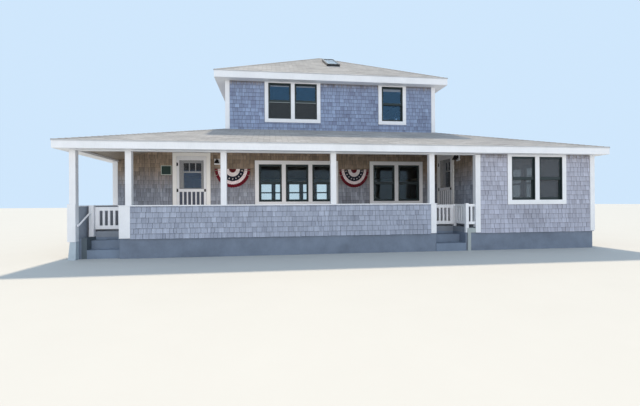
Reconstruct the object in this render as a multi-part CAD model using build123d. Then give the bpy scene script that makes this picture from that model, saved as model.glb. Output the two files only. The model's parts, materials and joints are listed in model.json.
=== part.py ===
"""A two-storey shingled beach house with a recessed front porch, a skirt of hip roof and a
smaller square upper storey under a pyramid roof.

Millimetres. The origin is on the ground under the roof's apex, +Z is up and the front, with
the porch and its two flights of steps, faces -Y. Distances along the front are measured from
the house's left corner, and distances back are measured from the front plane.
"""
from build123d import *
import math
import os

os.makedirs("parts", exist_ok=True)

# Plan of the house
upper_width = 7150          # the upper storey is square
skirt = 3195                # from the lower wall face in to the upper wall face
wall = 150                  # every outer wall
porch_depth = 2500
wing_start = 10050          # the wing's left wall, from the left corner

# Levels above the ground
foundation_top = 480
deck_top = 620
floor_top = 740

# The storeys, each measured from the one below
soffit_below_doors = 171    # the porch ceiling rises behind the eaves
beam_drop = 20              # from the lower soffit down to the porch beam's underside
lower_eave_depth = 187
upper_floor_rise = 630      # from the lower soffit up to the upper floor's underside
upper_floor_depth = 260
upper_wall_height = 1860    # from the upper floor up to the upper soffit
upper_eave_depth = 230

# Roofs
lower_pitch = 0.281         # rise over run
upper_pitch = 0.512
lower_overhang = 260
upper_overhang = 335
roof_depth = 120            # measured plumb
fascia = 25
soffit_board = 15

# Foundation and fine joints
foundation_inset = 20
foundation_wall = 160
joint = 0.5                 # between solids that share a node
past = 1                    # how far a cutting block goes past each face
door_gap = 5                # round every door and gate

# Porch rail, posts and steps
half_wall = 120
cap_board = 25
cap_top = 1265
cap_lip = 20
post = 140
post_centres = [1280, 3480, 6200, 8820]     # the four that stand on the half wall
left_pilaster = 250
right_pilaster = 145
pilaster_proud = 12
pedestal_depth = 140         # from the front plane back
pedestal_foot = 420
pedestal_top = 1300
pedestal_proud = 15
pedestal_side_proud = 55     # past the house's left face
corner_post_proud = 15       # the corner post stands this far past the left face
base_flare = 30
left_steps_start = 300       # the cheek fills the way from the foundation up to here
cheek_top = 500
left_recess_end = 1070
left_recess_depth = 600
right_recess_start = 8930
right_recess_end = 9760
right_recess_depth = 710
riser_board = 30
risers = 3

# Newels, rails and gates
newel = 110
inner_newel = 80
left_newel_start = 190
left_newel_top = 1270
corner_newel = 80
corner_newel_top = 1260
handrail_diameter = 40
handrail_top_height = 1140
handrail_foot_height = 775
handrail_foot_back = 20
handrail_stand_off = 10
handrail_round = 18          # how far its foot end is rounded
rail_bottom = 700
rail_top = 1240
rail_height = 70
rail_thickness = 35
rail_stile = 1
handrail_bracket = 30
handrail_bracket_up = 60     # from the foot end along the rail
picket = 50
side_rail_pickets = 4
short_rail_pickets = 1
gate_thickness = 35
gate_bottom = 675
gate_top = 1225
gate_stile = 100
gate_rail = 90
left_gate_pickets = 4
right_gate_pickets = 5

# Porch ceiling
ceiling_rise = 50           # from the beam's underside up to the ceiling behind it
ceiling_board = 20

# Boards at the corners
corner_board = 115
corner_board_proud = 25

# Windows
casing = 120
casing_proud = 30
mullion = 127
mullion_depth = 90
sash_setback = 15
sash_thickness = 35
sash_stile = 48
sash_top_rail = 50
meeting_rail = 40
sash_bottom_rail = 70
glass = 6
lower_sash = 712
wing_sash = 686
upper_sash = 747
lower_head_drop = 60        # from the soffit down to the windows' heads
lower_window_height = 1170
upper_head_drop = 35
upper_window_height = 1185
triple_window_centre = 5454
twin_window_centre = 8705
wing_window_from_wing = 1770
left_window_offset = 2600   # each side of the wall's middle, and so on for the others
right_window_offset = 3900
back_row_sashes = 5
back_row_offset = 700       # the places on the back wall, as seen from behind
back_left_twin_offset = 3300
back_right_twin_offset = 4200
upper_twin_offset = 1395
upper_single_offset = 2043

# Doors
door_width = 865
door_height = 1981
door_lift = 20              # from the floor to the underside of a leaf
door_thickness = 44
door_stile = 170
door_top_rail = 195
door_glass_foot = 1010      # the large light starts this far up the leaf
door_light_rail = 45
small_light_height = 256
door_muntin = 28
screen_thickness = 28
screen_stile = 74
screen_top_rail = 124
screen_bottom_rail = 150
screen_mid_rail = 88
screen_mid_height = 896
screen_picket = 38
screen_pickets = 5
jamb = 20
door_casing = 119
door_casing_head = 103
door_casing_proud = 32
threshold = 10
front_door_centre = 2237
side_door_from_wall = 760   # from the porch wall forward to the side door's middle
hinge_from_end = 250
knuckle = 10
knuckle_length = 90
knuckle_flap = 25
knuckle_flap_thickness = 2
knob = 52
knob_depth = 26
knob_reach = 48
knob_height = 960
spindle = 24
handle_reach = 26
handle_width = 24
handle_inset = 14           # from the middle rail's edges

# Skylight, lamps, plaque and bunting
skylight_centre = 225       # to the right of the apex
skylight_width = 490
skylight_start = 1700       # plan distance in from the front eave
skylight_length = 1400
skylight_curb = 90
skylight_frame = 55
skylight_pane_drop = 20
lamp_plate = 180
lamp_plate_thickness = 40
lamp_shade_radius = 75
lamp_shade_top_radius = 15
lamp_shade_height = 90
lamp_arm = 90
lamp_arm_thickness = 20
lamp_above_soffit = 10
porch_lamp_gap = 206        # from the door casing's edge to the lamp's middle
side_lamp_gap = 283
plaque_width = 300
plaque_height = 280
plaque_thickness = 35
plaque_gap = 30             # from the door casing's edge
plaque_below_door_top = 431
bunting_thickness = 60
bunting_below_head = 150
bunting_height = 590
left_bunting_gap = 116      # from the door casing's edge
left_bunting_width = 1100
right_bunting_gap = 20      # from the window casing on each side
soft_gap = 0.3

# What follows from them
body_width = upper_width + 2 * skirt
half_body = body_width / 2
half_upper = upper_width / 2
front = -half_body
lower_eave = half_body + lower_overhang
upper_eave = half_upper + upper_overhang
porch_wall_face = front + porch_depth
corner_post_right = post - corner_post_proud - half_body
half_wall_top = cap_top - cap_board
door_bottom = floor_top + door_lift
door_top = door_bottom + door_height
lower_soffit = door_top - soffit_below_doors
beam_bottom = lower_soffit - beam_drop
lower_eave_top = lower_soffit + lower_eave_depth
upper_floor_bottom = lower_soffit + upper_floor_rise
upper_floor_top = upper_floor_bottom + upper_floor_depth
upper_soffit = upper_floor_top + upper_wall_height
upper_eave_top = upper_soffit + upper_eave_depth
lower_head = lower_soffit - lower_head_drop
lower_sill = lower_head - lower_window_height
upper_head = upper_soffit - upper_head_drop
upper_sill = upper_head - upper_window_height
door_clear = door_width / 2 + door_gap      # from a doorway's middle to its jamb
casing_reach = door_clear + door_casing     # from a doorway's middle to its casing's edge
side_door_back = porch_depth - side_door_from_wall


def along(distance):
    """The x of a place along the front, measured from the house's left corner."""
    return -half_body + distance


def back(distance):
    """The y of a place behind the front plane."""
    return front + distance


def block(x0, x1, y0, y1, z0, z1):
    """A plain box between two corners."""
    centre = Pos((x0 + x1) / 2, (y0 + y1) / 2, (z0 + z1) / 2)
    return centre * Box(x1 - x0, y1 - y0, z1 - z0)


def facing(side, distance=0):
    """Places a shape drawn as if on the front wall onto the wall of a given side."""
    turn = {"front": 0, "right": 90, "back": 180, "left": -90}[side]
    return Rot(0, 0, turn) * Pos(0, -distance, 0)


def write(node, *solids):
    """One file for one named piece, with each of its solids apart from the others."""
    found = [solid for shape in solids for solid in shape.solids()]
    shape = found[0] if len(found) == 1 else Compound(children=found)
    shape.label = node
    export_step(shape, f"parts/{node}.step")


def lower_roof_height(distance_from_centre):
    """The height of the lower roof's top at a plan distance from the house's centre."""
    return lower_eave_top + lower_pitch * (lower_eave - distance_from_centre)


def upper_roof_height(distance_from_centre):
    return upper_eave_top + upper_pitch * (upper_eave - distance_from_centre)


def hip_volume(outer, outer_height, inner, inner_height):
    """Everything from the ground up to four equal slopes."""
    lower_face = Plane.XY.offset(outer_height) * Rectangle(2 * outer, 2 * outer)
    upper_face = Plane.XY.offset(inner_height) * Rectangle(2 * inner, 2 * inner)
    slopes = loft([lower_face, upper_face], ruled=True)
    return slopes + block(-outer, outer, -outer, outer, 0, outer_height)


under_lower_roof = hip_volume(
    lower_eave - fascia,
    lower_roof_height(lower_eave - fascia) - roof_depth,
    half_upper,
    lower_roof_height(half_upper) - roof_depth,
)


def roof_slope(outer, inner, height_at, depth):
    """The front slope of a hip roof: a slab with plumb edges, mitred at the hips."""
    section = Plane.YZ * Polygon(
        (-outer, height_at(outer)),
        (-inner, height_at(inner)),
        (-inner, height_at(inner) - depth),
        (-outer, height_at(outer) - depth),
        align=None,
    )
    slab = extrude(section, amount=outer, both=True)
    plan = [(-outer + joint, -outer), (outer - joint, -outer)]
    if inner == 0:
        plan.append((0, -joint))
    else:
        plan += [(inner, -inner - joint), (-inner, -inner - joint)]
    prism = extrude(Polygon(*plan, align=None), amount=2 * upper_eave_top)
    return slab & prism


def four_sides(shape):
    return [facing(side) * shape for side in ("front", "right", "back", "left")]


def eave_sides(outer, inner, soffit_height, top):
    """Fascia and soffit of the four eaves: the front and back run through, the sides fit between."""
    sides = []
    for side in ("front", "back", "left", "right"):
        through = side in ("front", "back")
        reach = outer if through else outer - fascia - joint
        shelf_reach = outer - fascia - joint if through else inner - joint
        face = block(-reach, reach, -outer, -outer + fascia, soffit_height, top)
        shelf_top = soffit_height + soffit_board
        shelf = block(-shelf_reach, shelf_reach, -outer + fascia, -inner, soffit_height, shelf_top)
        sides.append(facing(side) * (face + shelf))
    return sides


# Windows: side, plan distance of the wall's face from the centre, middle, sashes, width, sill, head
def lower_windows():
    porch = half_body - porch_depth
    middle = -porch_depth / 2       # of the left wall, which starts behind the porch
    twin = (2, lower_sash, lower_sill, lower_head)
    triple = (3, lower_sash, lower_sill, lower_head)
    row = (back_row_sashes, lower_sash, lower_sill, lower_head)
    wing_twin = (2, wing_sash, lower_sill, lower_head)
    return [
        ("front", porch, along(triple_window_centre), *triple),
        ("front", porch, along(twin_window_centre), *twin),
        ("front", half_body, along(wing_start + wing_window_from_wing), *wing_twin),
        ("left", half_body, middle - left_window_offset, *twin),
        ("left", half_body, middle + left_window_offset, *twin),
        ("right", half_body, -right_window_offset, *twin),
        ("right", half_body, 0, *twin),
        ("right", half_body, right_window_offset, *twin),
        ("back", half_body, -back_left_twin_offset, *twin),
        ("back", half_body, back_row_offset, *row),
        ("back", half_body, back_right_twin_offset, *twin),
    ]


def upper_windows():
    twin = (2, upper_sash, upper_sill, upper_head)
    single = (1, upper_sash, upper_sill, upper_head)
    return [
        ("front", half_upper, -upper_twin_offset, *twin),
        ("front", half_upper, upper_single_offset, *single),
        ("left", half_upper, 0, *twin),
        ("right", half_upper, 0, *twin),
        ("back", half_upper, -upper_twin_offset, *twin),
        ("back", half_upper, upper_single_offset, *single),
    ]


def row_width(count, width):
    return count * width + (count - 1) * mullion


def window_hole(side, distance, middle, count, width, sill, head):
    reach = row_width(count, width) / 2
    return facing(side, distance) * block(middle - reach, middle + reach, -wall, 2 * wall, sill, head)


def window_casing(side, distance, middle, count, width, sill, head):
    """The white boards round a row of sashes, with the posts between the sashes."""
    reach = row_width(count, width) / 2
    outside = block(
        middle - reach - casing, middle + reach + casing, -casing_proud, 0, sill - casing, head + casing
    )
    boards = outside - block(middle - reach, middle + reach, -2 * casing_proud, past, sill, head)
    for left in sash_lefts(middle, count, width)[1:]:
        boards += block(left - mullion, left, -casing_proud, mullion_depth, sill, head)
    boards &= block(-half_body, half_body, -wall, wall, 0, head_limit(distance))
    return facing(side, distance) * boards


def head_limit(distance):
    """Head boards stop under the soffit; the porch wall has none."""
    return lower_soffit if distance == half_body else upper_soffit


def sash_lefts(middle, count, width):
    reach = row_width(count, width) / 2
    return [middle - reach + number * (width + mullion) for number in range(count)]


def frame_ring(left, width, bottom, top, near, stile, bottom_rail, top_rail, thickness):
    ring = block(left, left + width, near, near + thickness, bottom, top)
    light = block(
        left + stile, left + width - stile, near - past, near + thickness + past,
        bottom + bottom_rail, top - top_rail,
    )
    return ring - light


def sash_pair(side, distance, left, width, sill, head):
    """A double-hung pair: the upper sash stands in front and the two share a meeting rail."""
    middle = (sill + head) / 2
    near = sash_setback
    upper_light = frame_ring(
        left, width, middle - meeting_rail / 2, head, near,
        sash_stile, meeting_rail, sash_top_rail, sash_thickness,
    )
    lower_light = frame_ring(
        left, width, sill, middle + meeting_rail / 2, near + sash_thickness,
        sash_stile, sash_bottom_rail, meeting_rail, sash_thickness,
    )
    return facing(side, distance) * (upper_light + lower_light)


def sash_panes(side, distance, left, width, sill, head):
    middle = (sill + head) / 2
    inset = (sash_thickness - glass) / 2
    near = sash_setback + inset
    far = near + sash_thickness
    x0 = left + sash_stile
    x1 = left + width - sash_stile
    upper_pane = block(x0, x1, near, near + glass, middle + meeting_rail / 2, head - sash_top_rail)
    lower_pane = block(x0, x1, far, far + glass, sill + sash_bottom_rail, middle - meeting_rail / 2)
    return [facing(side, distance) * pane for pane in (upper_pane, lower_pane)]


def write_windows(storey, windows):
    """Casings, sashes and panes of one storey."""
    write(f"{storey}_window_casings", *[window_casing(*row) for row in windows])
    sashes = []
    panes = []
    for side, distance, middle, count, width, sill, head in windows:
        for left in sash_lefts(middle, count, width):
            sashes.append(sash_pair(side, distance, left, width, sill, head))
            panes += sash_panes(side, distance, left, width, sill, head)
    write(f"{storey}_sashes", *sashes)
    write(f"{storey}_glass", *panes)


def cut_windows(shape, side, windows, distance):
    for row in windows:
        if row[0] == side and row[1] == distance:
            shape -= window_hole(*row)
    return shape


def foundation():
    """Concrete walls under the house, set in from the shingles, with both stair recesses left open."""
    edge = half_body - foundation_inset
    inner = edge - foundation_wall
    face = back(foundation_inset)
    behind = face + foundation_wall + joint
    left_end = along(left_recess_end)
    right_start = along(right_recess_start)
    right_end = along(right_recess_end)
    top = foundation_top
    cross_wall = porch_wall_face + foundation_inset
    wing = along(wing_start) + foundation_inset
    return [
        block(-edge, edge, inner, edge, 0, top),
        block(-edge, -inner, back(pedestal_depth), inner - joint, 0, top),
        block(inner, edge, face, inner - joint, 0, top),
        block(left_end, right_start, face, face + foundation_wall, 0, top),
        block(left_end, left_end + foundation_wall, behind, back(left_recess_depth), 0, top),
        block(right_start - foundation_wall, right_start, behind, back(right_recess_depth), 0, top),
        block(right_end, inner - joint, face, face + foundation_wall, 0, top),
        block(right_end, right_end + foundation_wall, behind, back(right_recess_depth), 0, top),
        block(-inner + joint, inner - joint, cross_wall, cross_wall + foundation_wall, 0, top),
        block(wing, wing + foundation_wall, behind, cross_wall - joint, 0, top),
    ]


def main_floor():
    """The floor of the house and of the wing, each carried out to the doorway's face."""
    inner = half_body - wall
    porch_side = porch_wall_face + wall
    wing_side = along(wing_start) + wall
    hole = door_clear + jamb
    door = along(front_door_centre)
    side_door = back(side_door_back)
    main = block(-inner, inner, porch_side, inner, foundation_top, floor_top)
    main += block(door - hole, door + hole, porch_wall_face, porch_side, foundation_top, floor_top)
    wing = block(wing_side, inner, back(wall), porch_side - joint, foundation_top, floor_top)
    wing += block(wing_side - wall, wing_side, side_door - hole, side_door + hole, foundation_top, floor_top)
    return [main, wing]


def porch_deck():
    """The deck runs behind the half wall and steps back at both flights."""
    left_side = along(half_wall)
    wing_side = along(wing_start)
    left_return = along(left_recess_end + half_wall)
    right_return = along(right_recess_start - half_wall)
    strip = along(right_recess_end)
    deck = block(left_side, wing_side, back(right_recess_depth), porch_wall_face, foundation_top, deck_top)
    deck += block(
        left_side, right_return, back(left_recess_depth), back(right_recess_depth), foundation_top, deck_top
    )
    deck += block(
        left_return, right_return, back(half_wall), back(left_recess_depth), foundation_top, deck_top
    )
    deck += block(strip, wing_side, back(corner_newel), back(right_recess_depth), foundation_top, deck_top)
    deck += block(
        strip + corner_newel, wing_side, back(foundation_inset), back(corner_newel), foundation_top, deck_top
    )
    return deck


def steps(x0, x1, start, depth):
    """Two treads and a riser board under the deck's edge; the first riser stands at start."""
    rise = deck_top / risers
    tread = (depth - start) / (risers - 1)
    profile = [(start, 0)]
    for number in range(1, risers):
        near = start + (number - 1) * tread
        profile += [(near, number * rise), (near + tread, number * rise)]
    profile += [(depth, foundation_top), (depth + riser_board, foundation_top), (depth + riser_board, 0)]
    face = Plane.YZ * Polygon(*[(front + y, z) for y, z in profile], align=None)
    return Pos(x0, 0, 0) * extrude(face, amount=x1 - x0, dir=(1, 0, 0))


def corner_base():
    """The flared block of concrete under the corner pedestal."""
    right = corner_post_right
    rear = back(pedestal_depth) - joint

    def outline(height, flare):
        left_x = -half_body - flare
        front_y = front - flare
        middle = Pos((left_x + right) / 2, (front_y + rear) / 2, height)
        return middle * Rectangle(right - left_x, rear - front_y)

    return loft([outline(0, base_flare), outline(pedestal_foot, 0)], ruled=True)


def corner_pedestal():
    return block(
        -half_body - pedestal_side_proud, corner_post_right, front - pedestal_proud, back(pedestal_depth),
        pedestal_foot, pedestal_top,
    )


def stair_cheek():
    """The wall beside the left steps; it starts behind the corner base."""
    start = along(foundation_inset + foundation_wall)
    end = along(left_steps_start)
    return block(start, end, back(pedestal_depth), back(left_recess_depth), 0, cheek_top)


def half_walls():
    """The shingled run along the front, its two returns beside the steps, and the left side."""
    left_end = along(left_recess_end)
    right_start = along(right_recess_start)
    low, high = foundation_top, half_wall_top
    run = block(left_end + left_pilaster, right_start - right_pilaster, front, back(half_wall), low, high)
    rear = back(half_wall) + joint
    returns = [
        block(left_end, left_end + half_wall, rear, back(left_recess_depth), low, high),
        block(right_start - half_wall, right_start, rear, back(right_recess_depth), low, high),
    ]
    side = block(
        -half_body, along(half_wall), back(pedestal_depth), porch_wall_face - corner_board_proud, low, high
    )
    return run, returns, side


def pilasters():
    """White boards that close both ends of the half wall."""
    left_end = along(left_recess_end)
    right_start = along(right_recess_start)
    face = front - pilaster_proud
    rear = back(half_wall)
    low, high = foundation_top, half_wall_top
    return [
        block(left_end, left_end + left_pilaster, face, rear, low, high),
        block(right_start - right_pilaster, right_start, face, rear, low, high),
    ]


def half_wall_caps():
    left_end = along(left_recess_end)
    right_start = along(right_recess_start)
    rear = back(half_wall + cap_lip)
    low, high = half_wall_top, cap_top
    start = rear + joint
    side_x = along(half_wall + cap_lip)
    side_end = porch_wall_face - corner_board_proud
    return [
        block(left_end - cap_lip, right_start + cap_lip, front - cap_lip, rear, low, high),
        block(left_end - cap_lip, left_end + half_wall + cap_lip, start, back(left_recess_depth), low, high),
        block(
            right_start - half_wall - cap_lip, right_start + cap_lip,
            start, back(right_recess_depth), low, high,
        ),
        block(-half_body - cap_lip, side_x, back(pedestal_depth), side_end, low, high),
    ]


def porch_posts():
    posts = [block(corner_post_right - post, corner_post_right, front, back(post), pedestal_top, beam_bottom)]
    for centre in post_centres:
        x = along(centre)
        posts.append(block(x - post / 2, x + post / 2, front, back(post), cap_top, beam_bottom))
    return posts


def porch_beams():
    """The beam on the posts and its return along the left side, up to the underside of the roof."""
    height = lower_roof_height(half_body) - roof_depth
    run = block(-half_body, along(wing_start), front, back(post), beam_bottom, height)
    side = block(
        -half_body, along(post), back(post) + joint, porch_wall_face - corner_board_proud, beam_bottom, height
    )
    return [run, side]


def porch_ceiling():
    """Boards that follow the slopes over the porch, mitred at the left corner."""
    edge = half_body - post
    room = block(-edge, along(wing_start), -edge, porch_wall_face, beam_bottom, upper_soffit)

    def height_at(distance):
        return beam_bottom + ceiling_rise + ceiling_board + lower_pitch * (edge - distance)

    slope = roof_slope(edge, half_upper, height_at, ceiling_board)
    return [slope & room, (facing("left") * slope) & room]


def wall_pieces(x0, x1, y0, y1):
    """A lower wall, from the foundation up to the underside of the roof."""
    return block(x0, x1, y0, y1, foundation_top, upper_soffit) & under_lower_roof


def lower_walls():
    """Every wall of the lower storey, split beside and over each doorway."""
    windows = lower_windows()
    hole = door_clear + jamb
    over = door_top + door_gap + jamb
    door = along(front_door_centre)
    wing = along(wing_start)
    rear = porch_wall_face + wall
    side_door = back(side_door_back)
    tall = upper_soffit
    porch_distance = half_body - porch_depth

    beside_left = wall_pieces(-half_body, door - hole, porch_wall_face, rear)
    beside_right = wall_pieces(door + hole, wing + wall, porch_wall_face, rear)
    over_door = block(door - hole, door + hole, porch_wall_face, rear, over, tall) & under_lower_roof
    write("porch_wall_left", beside_left)
    write("porch_wall_right", cut_windows(beside_right, "front", windows, porch_distance))
    write("porch_wall_over_door", over_door)

    wing_front = wall_pieces(wing, half_body, front, back(wall))
    write("wing_front_wall", cut_windows(wing_front, "front", windows, half_body))
    write("wing_side_wall_front", wall_pieces(wing, wing + wall, back(wall), side_door - hole))
    write("wing_side_wall_back", wall_pieces(wing, wing + wall, side_door + hole, porch_wall_face))
    side_over = block(wing, wing + wall, side_door - hole, side_door + hole, over, tall) & under_lower_roof
    write("wing_side_wall_over_door", side_over)

    inner = half_body - wall
    left = wall_pieces(-half_body, -inner, rear, inner)
    right = wall_pieces(inner, half_body, back(wall), inner)
    rear_wall = wall_pieces(-half_body, half_body, inner, half_body)
    write("left_wall", cut_windows(left, "left", windows, half_body))
    write("right_wall", cut_windows(right, "right", windows, half_body))
    write("back_wall", cut_windows(rear_wall, "back", windows, half_body))


def upper_walls():
    windows = upper_windows()
    top = upper_roof_height(half_upper) - roof_depth
    inner = half_upper - wall
    for side in ("front", "back", "left", "right"):
        reach = half_upper if side in ("front", "back") else inner
        panel = facing(side) * block(-reach, reach, -half_upper, -inner, upper_floor_bottom, top)
        write(f"upper_{side}_wall", cut_windows(panel, side, windows, half_upper))
    write("upper_floor", block(-inner, inner, -inner, inner, upper_floor_bottom, upper_floor_top))


def lower_corner_boards():
    """White boards on every corner; those in the porch start on the deck."""
    size, proud = corner_board, corner_board_proud
    boards = []

    def angle(x_sign, x, y, y_sign, low_x, low_y, high):
        """Two boards round the corner at x, y; the signs point out of the house."""
        x_out, x_in = x + x_sign * proud, x - x_sign * size
        y_out, y_in = y + y_sign * proud, y - y_sign * size
        on_y_face = block(min(x_out, x_in), max(x_out, x_in), min(y, y_out), max(y, y_out), low_y, high[1])
        on_x_face = block(min(x, x_out), max(x, x_out), min(y, y_in), max(y, y_in), low_x, high[0])
        return on_y_face + on_x_face

    low = foundation_top
    full = (lower_soffit, lower_soffit)
    wing = along(wing_start)
    boards.append(angle(-1, -half_body, half_body, 1, low, low, full))
    boards.append(angle(1, half_body, half_body, 1, low, low, full))
    boards.append(angle(1, half_body, front, -1, low, low, full))
    boards.append(angle(-1, wing, front, -1, deck_top, low, (beam_bottom, beam_bottom)))
    porch = angle(-1, -half_body, porch_wall_face, -1, low, deck_top, (lower_soffit, beam_bottom))
    boards.append(porch)
    return boards


def upper_corner_boards():
    size, proud = corner_board, corner_board_proud
    low = lower_roof_height(half_upper - proud)
    boards = []
    for side in ("front", "right", "back", "left"):
        outer, inner = -half_upper - proud, -half_upper + size
        on_face = block(outer, inner, outer, -half_upper, low, upper_soffit)
        on_side = block(outer, -half_upper, -half_upper, inner, low, upper_soffit)
        boards.append(facing(side) * (on_face + on_side))
    return boards


def door_frame(middle):
    """Casing, jambs and threshold, drawn on a wall whose face is y = 0."""
    clear_top = door_top + door_gap
    outside = block(
        middle - casing_reach, middle + casing_reach,
        -door_casing_proud, 0, deck_top, clear_top + door_casing_head,
    )
    lined = door_clear + jamb
    lining = block(middle - lined, middle + lined, 0, wall, floor_top, clear_top + jamb)
    way = block(
        middle - door_clear, middle + door_clear, -2 * wall, 2 * wall, floor_top + threshold, clear_top
    )
    return (outside + lining) - way


def hinge_knuckles(x, y, heights, reach, flap_face, into):
    """Knuckles on a hinge line, each with a flap let onto the leaf's face."""
    shape = None
    for height in heights:
        barrel = Pos(x, y, height) * Cylinder(knuckle / 2, knuckle_length)
        y0, y1 = sorted((flap_face, flap_face + into * knuckle_flap_thickness))
        x0, x1 = sorted((x, x + reach))
        flap = block(x0, x1, y0, y1, height - knuckle_length / 2, height + knuckle_length / 2)
        pair = barrel + flap
        shape = pair if shape is None else shape + pair
    return shape


def screen_door(middle, hinge_side):
    """A wooden screen door: an upper light for the screen over a row of pickets.

    Drawn on a wall whose face is y = 0; its outer face is flush with the casing.
    """
    left = middle - door_width / 2
    bottom = door_bottom
    near = -door_casing_proud
    leaf = block(left, left + door_width, near, near + screen_thickness, bottom, door_top)
    x0, x1 = left + screen_stile, left + door_width - screen_stile
    mid = bottom + screen_mid_height
    y0, y1 = near - past, near + screen_thickness + past
    leaf -= block(x0, x1, y0, y1, mid + screen_mid_rail, door_top - screen_top_rail)
    leaf -= block(x0, x1, y0, y1, bottom + screen_bottom_rail, mid)
    gap = (x1 - x0 - screen_pickets * screen_picket) / (screen_pickets + 1)
    for number in range(screen_pickets):
        start = x0 + gap + number * (gap + screen_picket)
        leaf += block(
            start, start + screen_picket, near, near + screen_thickness, bottom + screen_bottom_rail, mid
        )
    hinge_x = middle + hinge_side * (door_width / 2 + door_gap / 2)
    heights = [bottom + hinge_from_end, door_top - hinge_from_end]
    pivot_y = near - knuckle / 2
    leaf += hinge_knuckles(hinge_x, pivot_y, heights, -hinge_side * knuckle_flap, near, -1)
    latch_x = middle - hinge_side * (door_width / 2 - screen_stile / 2)
    leaf += block(
        latch_x - handle_width / 2, latch_x + handle_width / 2, near - handle_reach, near,
        mid + handle_inset, mid + screen_mid_rail - handle_inset,
    )
    return leaf


def inner_door(middle, hinge_side):
    """The house door: three small lights over one large light, and a solid lower panel."""
    left = middle - door_width / 2
    far = wall
    near = far - door_thickness
    leaf = block(left, left + door_width, near, far, door_bottom, door_top)
    for a, b, low, high in inner_door_lights(middle):
        leaf -= block(a, b, near - past, far + past, low, high)
    hinge_x = middle + hinge_side * (door_width / 2 + door_gap / 2)
    heights = [door_bottom + hinge_from_end, (door_bottom + door_top) / 2, door_top - hinge_from_end]
    pivot_y = far + knuckle / 2
    leaf += hinge_knuckles(hinge_x, pivot_y, heights, -hinge_side * knuckle_flap, far, 1)
    knob_x = middle - hinge_side * (door_width / 2 - door_stile / 2)
    knob_z = door_bottom + knob_height
    turned = Rot(90, 0, 0)
    bar = Cylinder(spindle / 2, door_thickness + 2 * knob_reach)
    leaf += Pos(knob_x, (near + far) / 2, knob_z) * turned * bar
    for y in (near - knob_reach + knob_depth / 2, far + knob_reach - knob_depth / 2):
        leaf += Pos(knob_x, y, knob_z) * turned * Cylinder(knob / 2, knob_depth)
    return leaf


def inner_door_lights(middle):
    """The openings for glass: left, right, low and high of each."""
    x0 = middle - door_width / 2 + door_stile
    x1 = middle + door_width / 2 - door_stile
    high = door_top - door_top_rail
    low = high - small_light_height
    width = (x1 - x0 - 2 * door_muntin) / 3
    lights = []
    for number in range(3):
        start = x0 + number * (width + door_muntin)
        lights.append((start, start + width, low, high))
    lights.append((x0, x1, door_bottom + door_glass_foot, low - door_light_rail))
    return lights


def inner_door_glass(middle):
    y = wall - door_thickness / 2
    panes = inner_door_lights(middle)
    return [block(a, b, y - glass / 2, y + glass / 2, low, high) for a, b, low, high in panes]


def picket_panel(x0, x1, y0, y1, low, high, stile, rail, count):
    """A frame of rails and stiles with upright pickets between, running along X."""
    panel = frame_ring(x0, x1 - x0, low, high, y0, stile, rail, rail, y1 - y0)
    gap = (x1 - x0 - 2 * stile - count * picket) / (count + 1)
    for number in range(count):
        start = x0 + stile + gap + number * (gap + picket)
        panel += block(start, start + picket, y0, y1, low + rail, high - rail)
    return panel


def gates():
    """A picket gate at the top of each flight, each hung on the end of the half wall's return."""
    left_x0 = along(left_newel_start + newel) + door_gap
    left_x1 = along(left_recess_end) - door_gap
    left_y1 = back(left_recess_depth)
    right_x0 = along(right_recess_start) + door_gap
    right_x1 = along(right_recess_end) - door_gap
    right_y1 = back(right_recess_depth)
    left_gate = picket_panel(
        left_x0, left_x1, left_y1 - gate_thickness, left_y1,
        gate_bottom, gate_top, gate_stile, gate_rail, left_gate_pickets,
    )
    right_gate = picket_panel(
        right_x0, right_x1, right_y1 - gate_thickness, right_y1,
        gate_bottom, gate_top, gate_stile, gate_rail, right_gate_pickets,
    )
    heights = [gate_bottom + gate_rail, gate_top - gate_rail]
    left_gate += hinge_knuckles(
        along(left_recess_end) - door_gap / 2, left_y1 + knuckle / 2, heights, -knuckle_flap, left_y1, 1
    )
    right_gate += hinge_knuckles(
        along(right_recess_start) + door_gap / 2, right_y1 + knuckle / 2, heights, knuckle_flap, right_y1, 1
    )
    return left_gate, right_gate


def left_railing():
    """The newel on the cheek wall and the handrail down to the corner pedestal."""
    x0 = along(left_newel_start)
    rear = back(left_recess_depth)
    newel_post = block(x0, x0 + newel, rear - newel, rear, cheek_top, left_newel_top)
    radius = handrail_diameter / 2
    top = Vector(x0 + newel / 2, rear - newel / 2, handrail_top_height)
    foot_x = corner_post_right + handrail_stand_off + radius
    foot = Vector(foot_x, back(handrail_foot_back), handrail_foot_height)
    rise = top - foot
    rod = Cylinder(radius, rise.length, align=(Align.CENTER, Align.CENTER, Align.MIN))
    rod = fillet(rod.edges().filter_by(GeomType.CIRCLE).sort_by(Axis.Z)[0], handrail_round)
    rail = Plane(origin=foot, z_dir=rise) * rod
    hold = foot + rise.normalized() * handrail_bracket_up
    half = handrail_bracket / 2
    bracket = block(corner_post_right, hold.X, hold.Y - half, hold.Y + half, hold.Z - half, hold.Z + half)
    return newel_post + rail + bracket


def right_railing():
    """Two newels, the side rail between them and the short rail to the wing's corner."""
    x0 = along(right_recess_end)
    wing = along(wing_start) - corner_board_proud
    rear = back(right_recess_depth)
    corner = block(x0, x0 + corner_newel, front, back(corner_newel), foundation_top, corner_newel_top)
    near = rear - inner_newel / 2
    inner = block(x0, x0 + inner_newel, near, near + inner_newel, deck_top, rail_top)
    panel_length = near - back(corner_newel)
    half = rail_thickness / 2
    side = picket_panel(
        0, panel_length, -half, half, rail_bottom, rail_top, rail_stile, rail_height, side_rail_pickets
    )
    side = Pos(x0 + corner_newel / 2, back(corner_newel), 0) * Rot(0, 0, 90) * side
    middle = back(corner_newel / 2)
    short = picket_panel(
        x0 + corner_newel, wing, middle - half, middle + half,
        rail_bottom, rail_top, rail_stile, rail_height, short_rail_pickets,
    )
    return corner + inner + side + short


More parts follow.
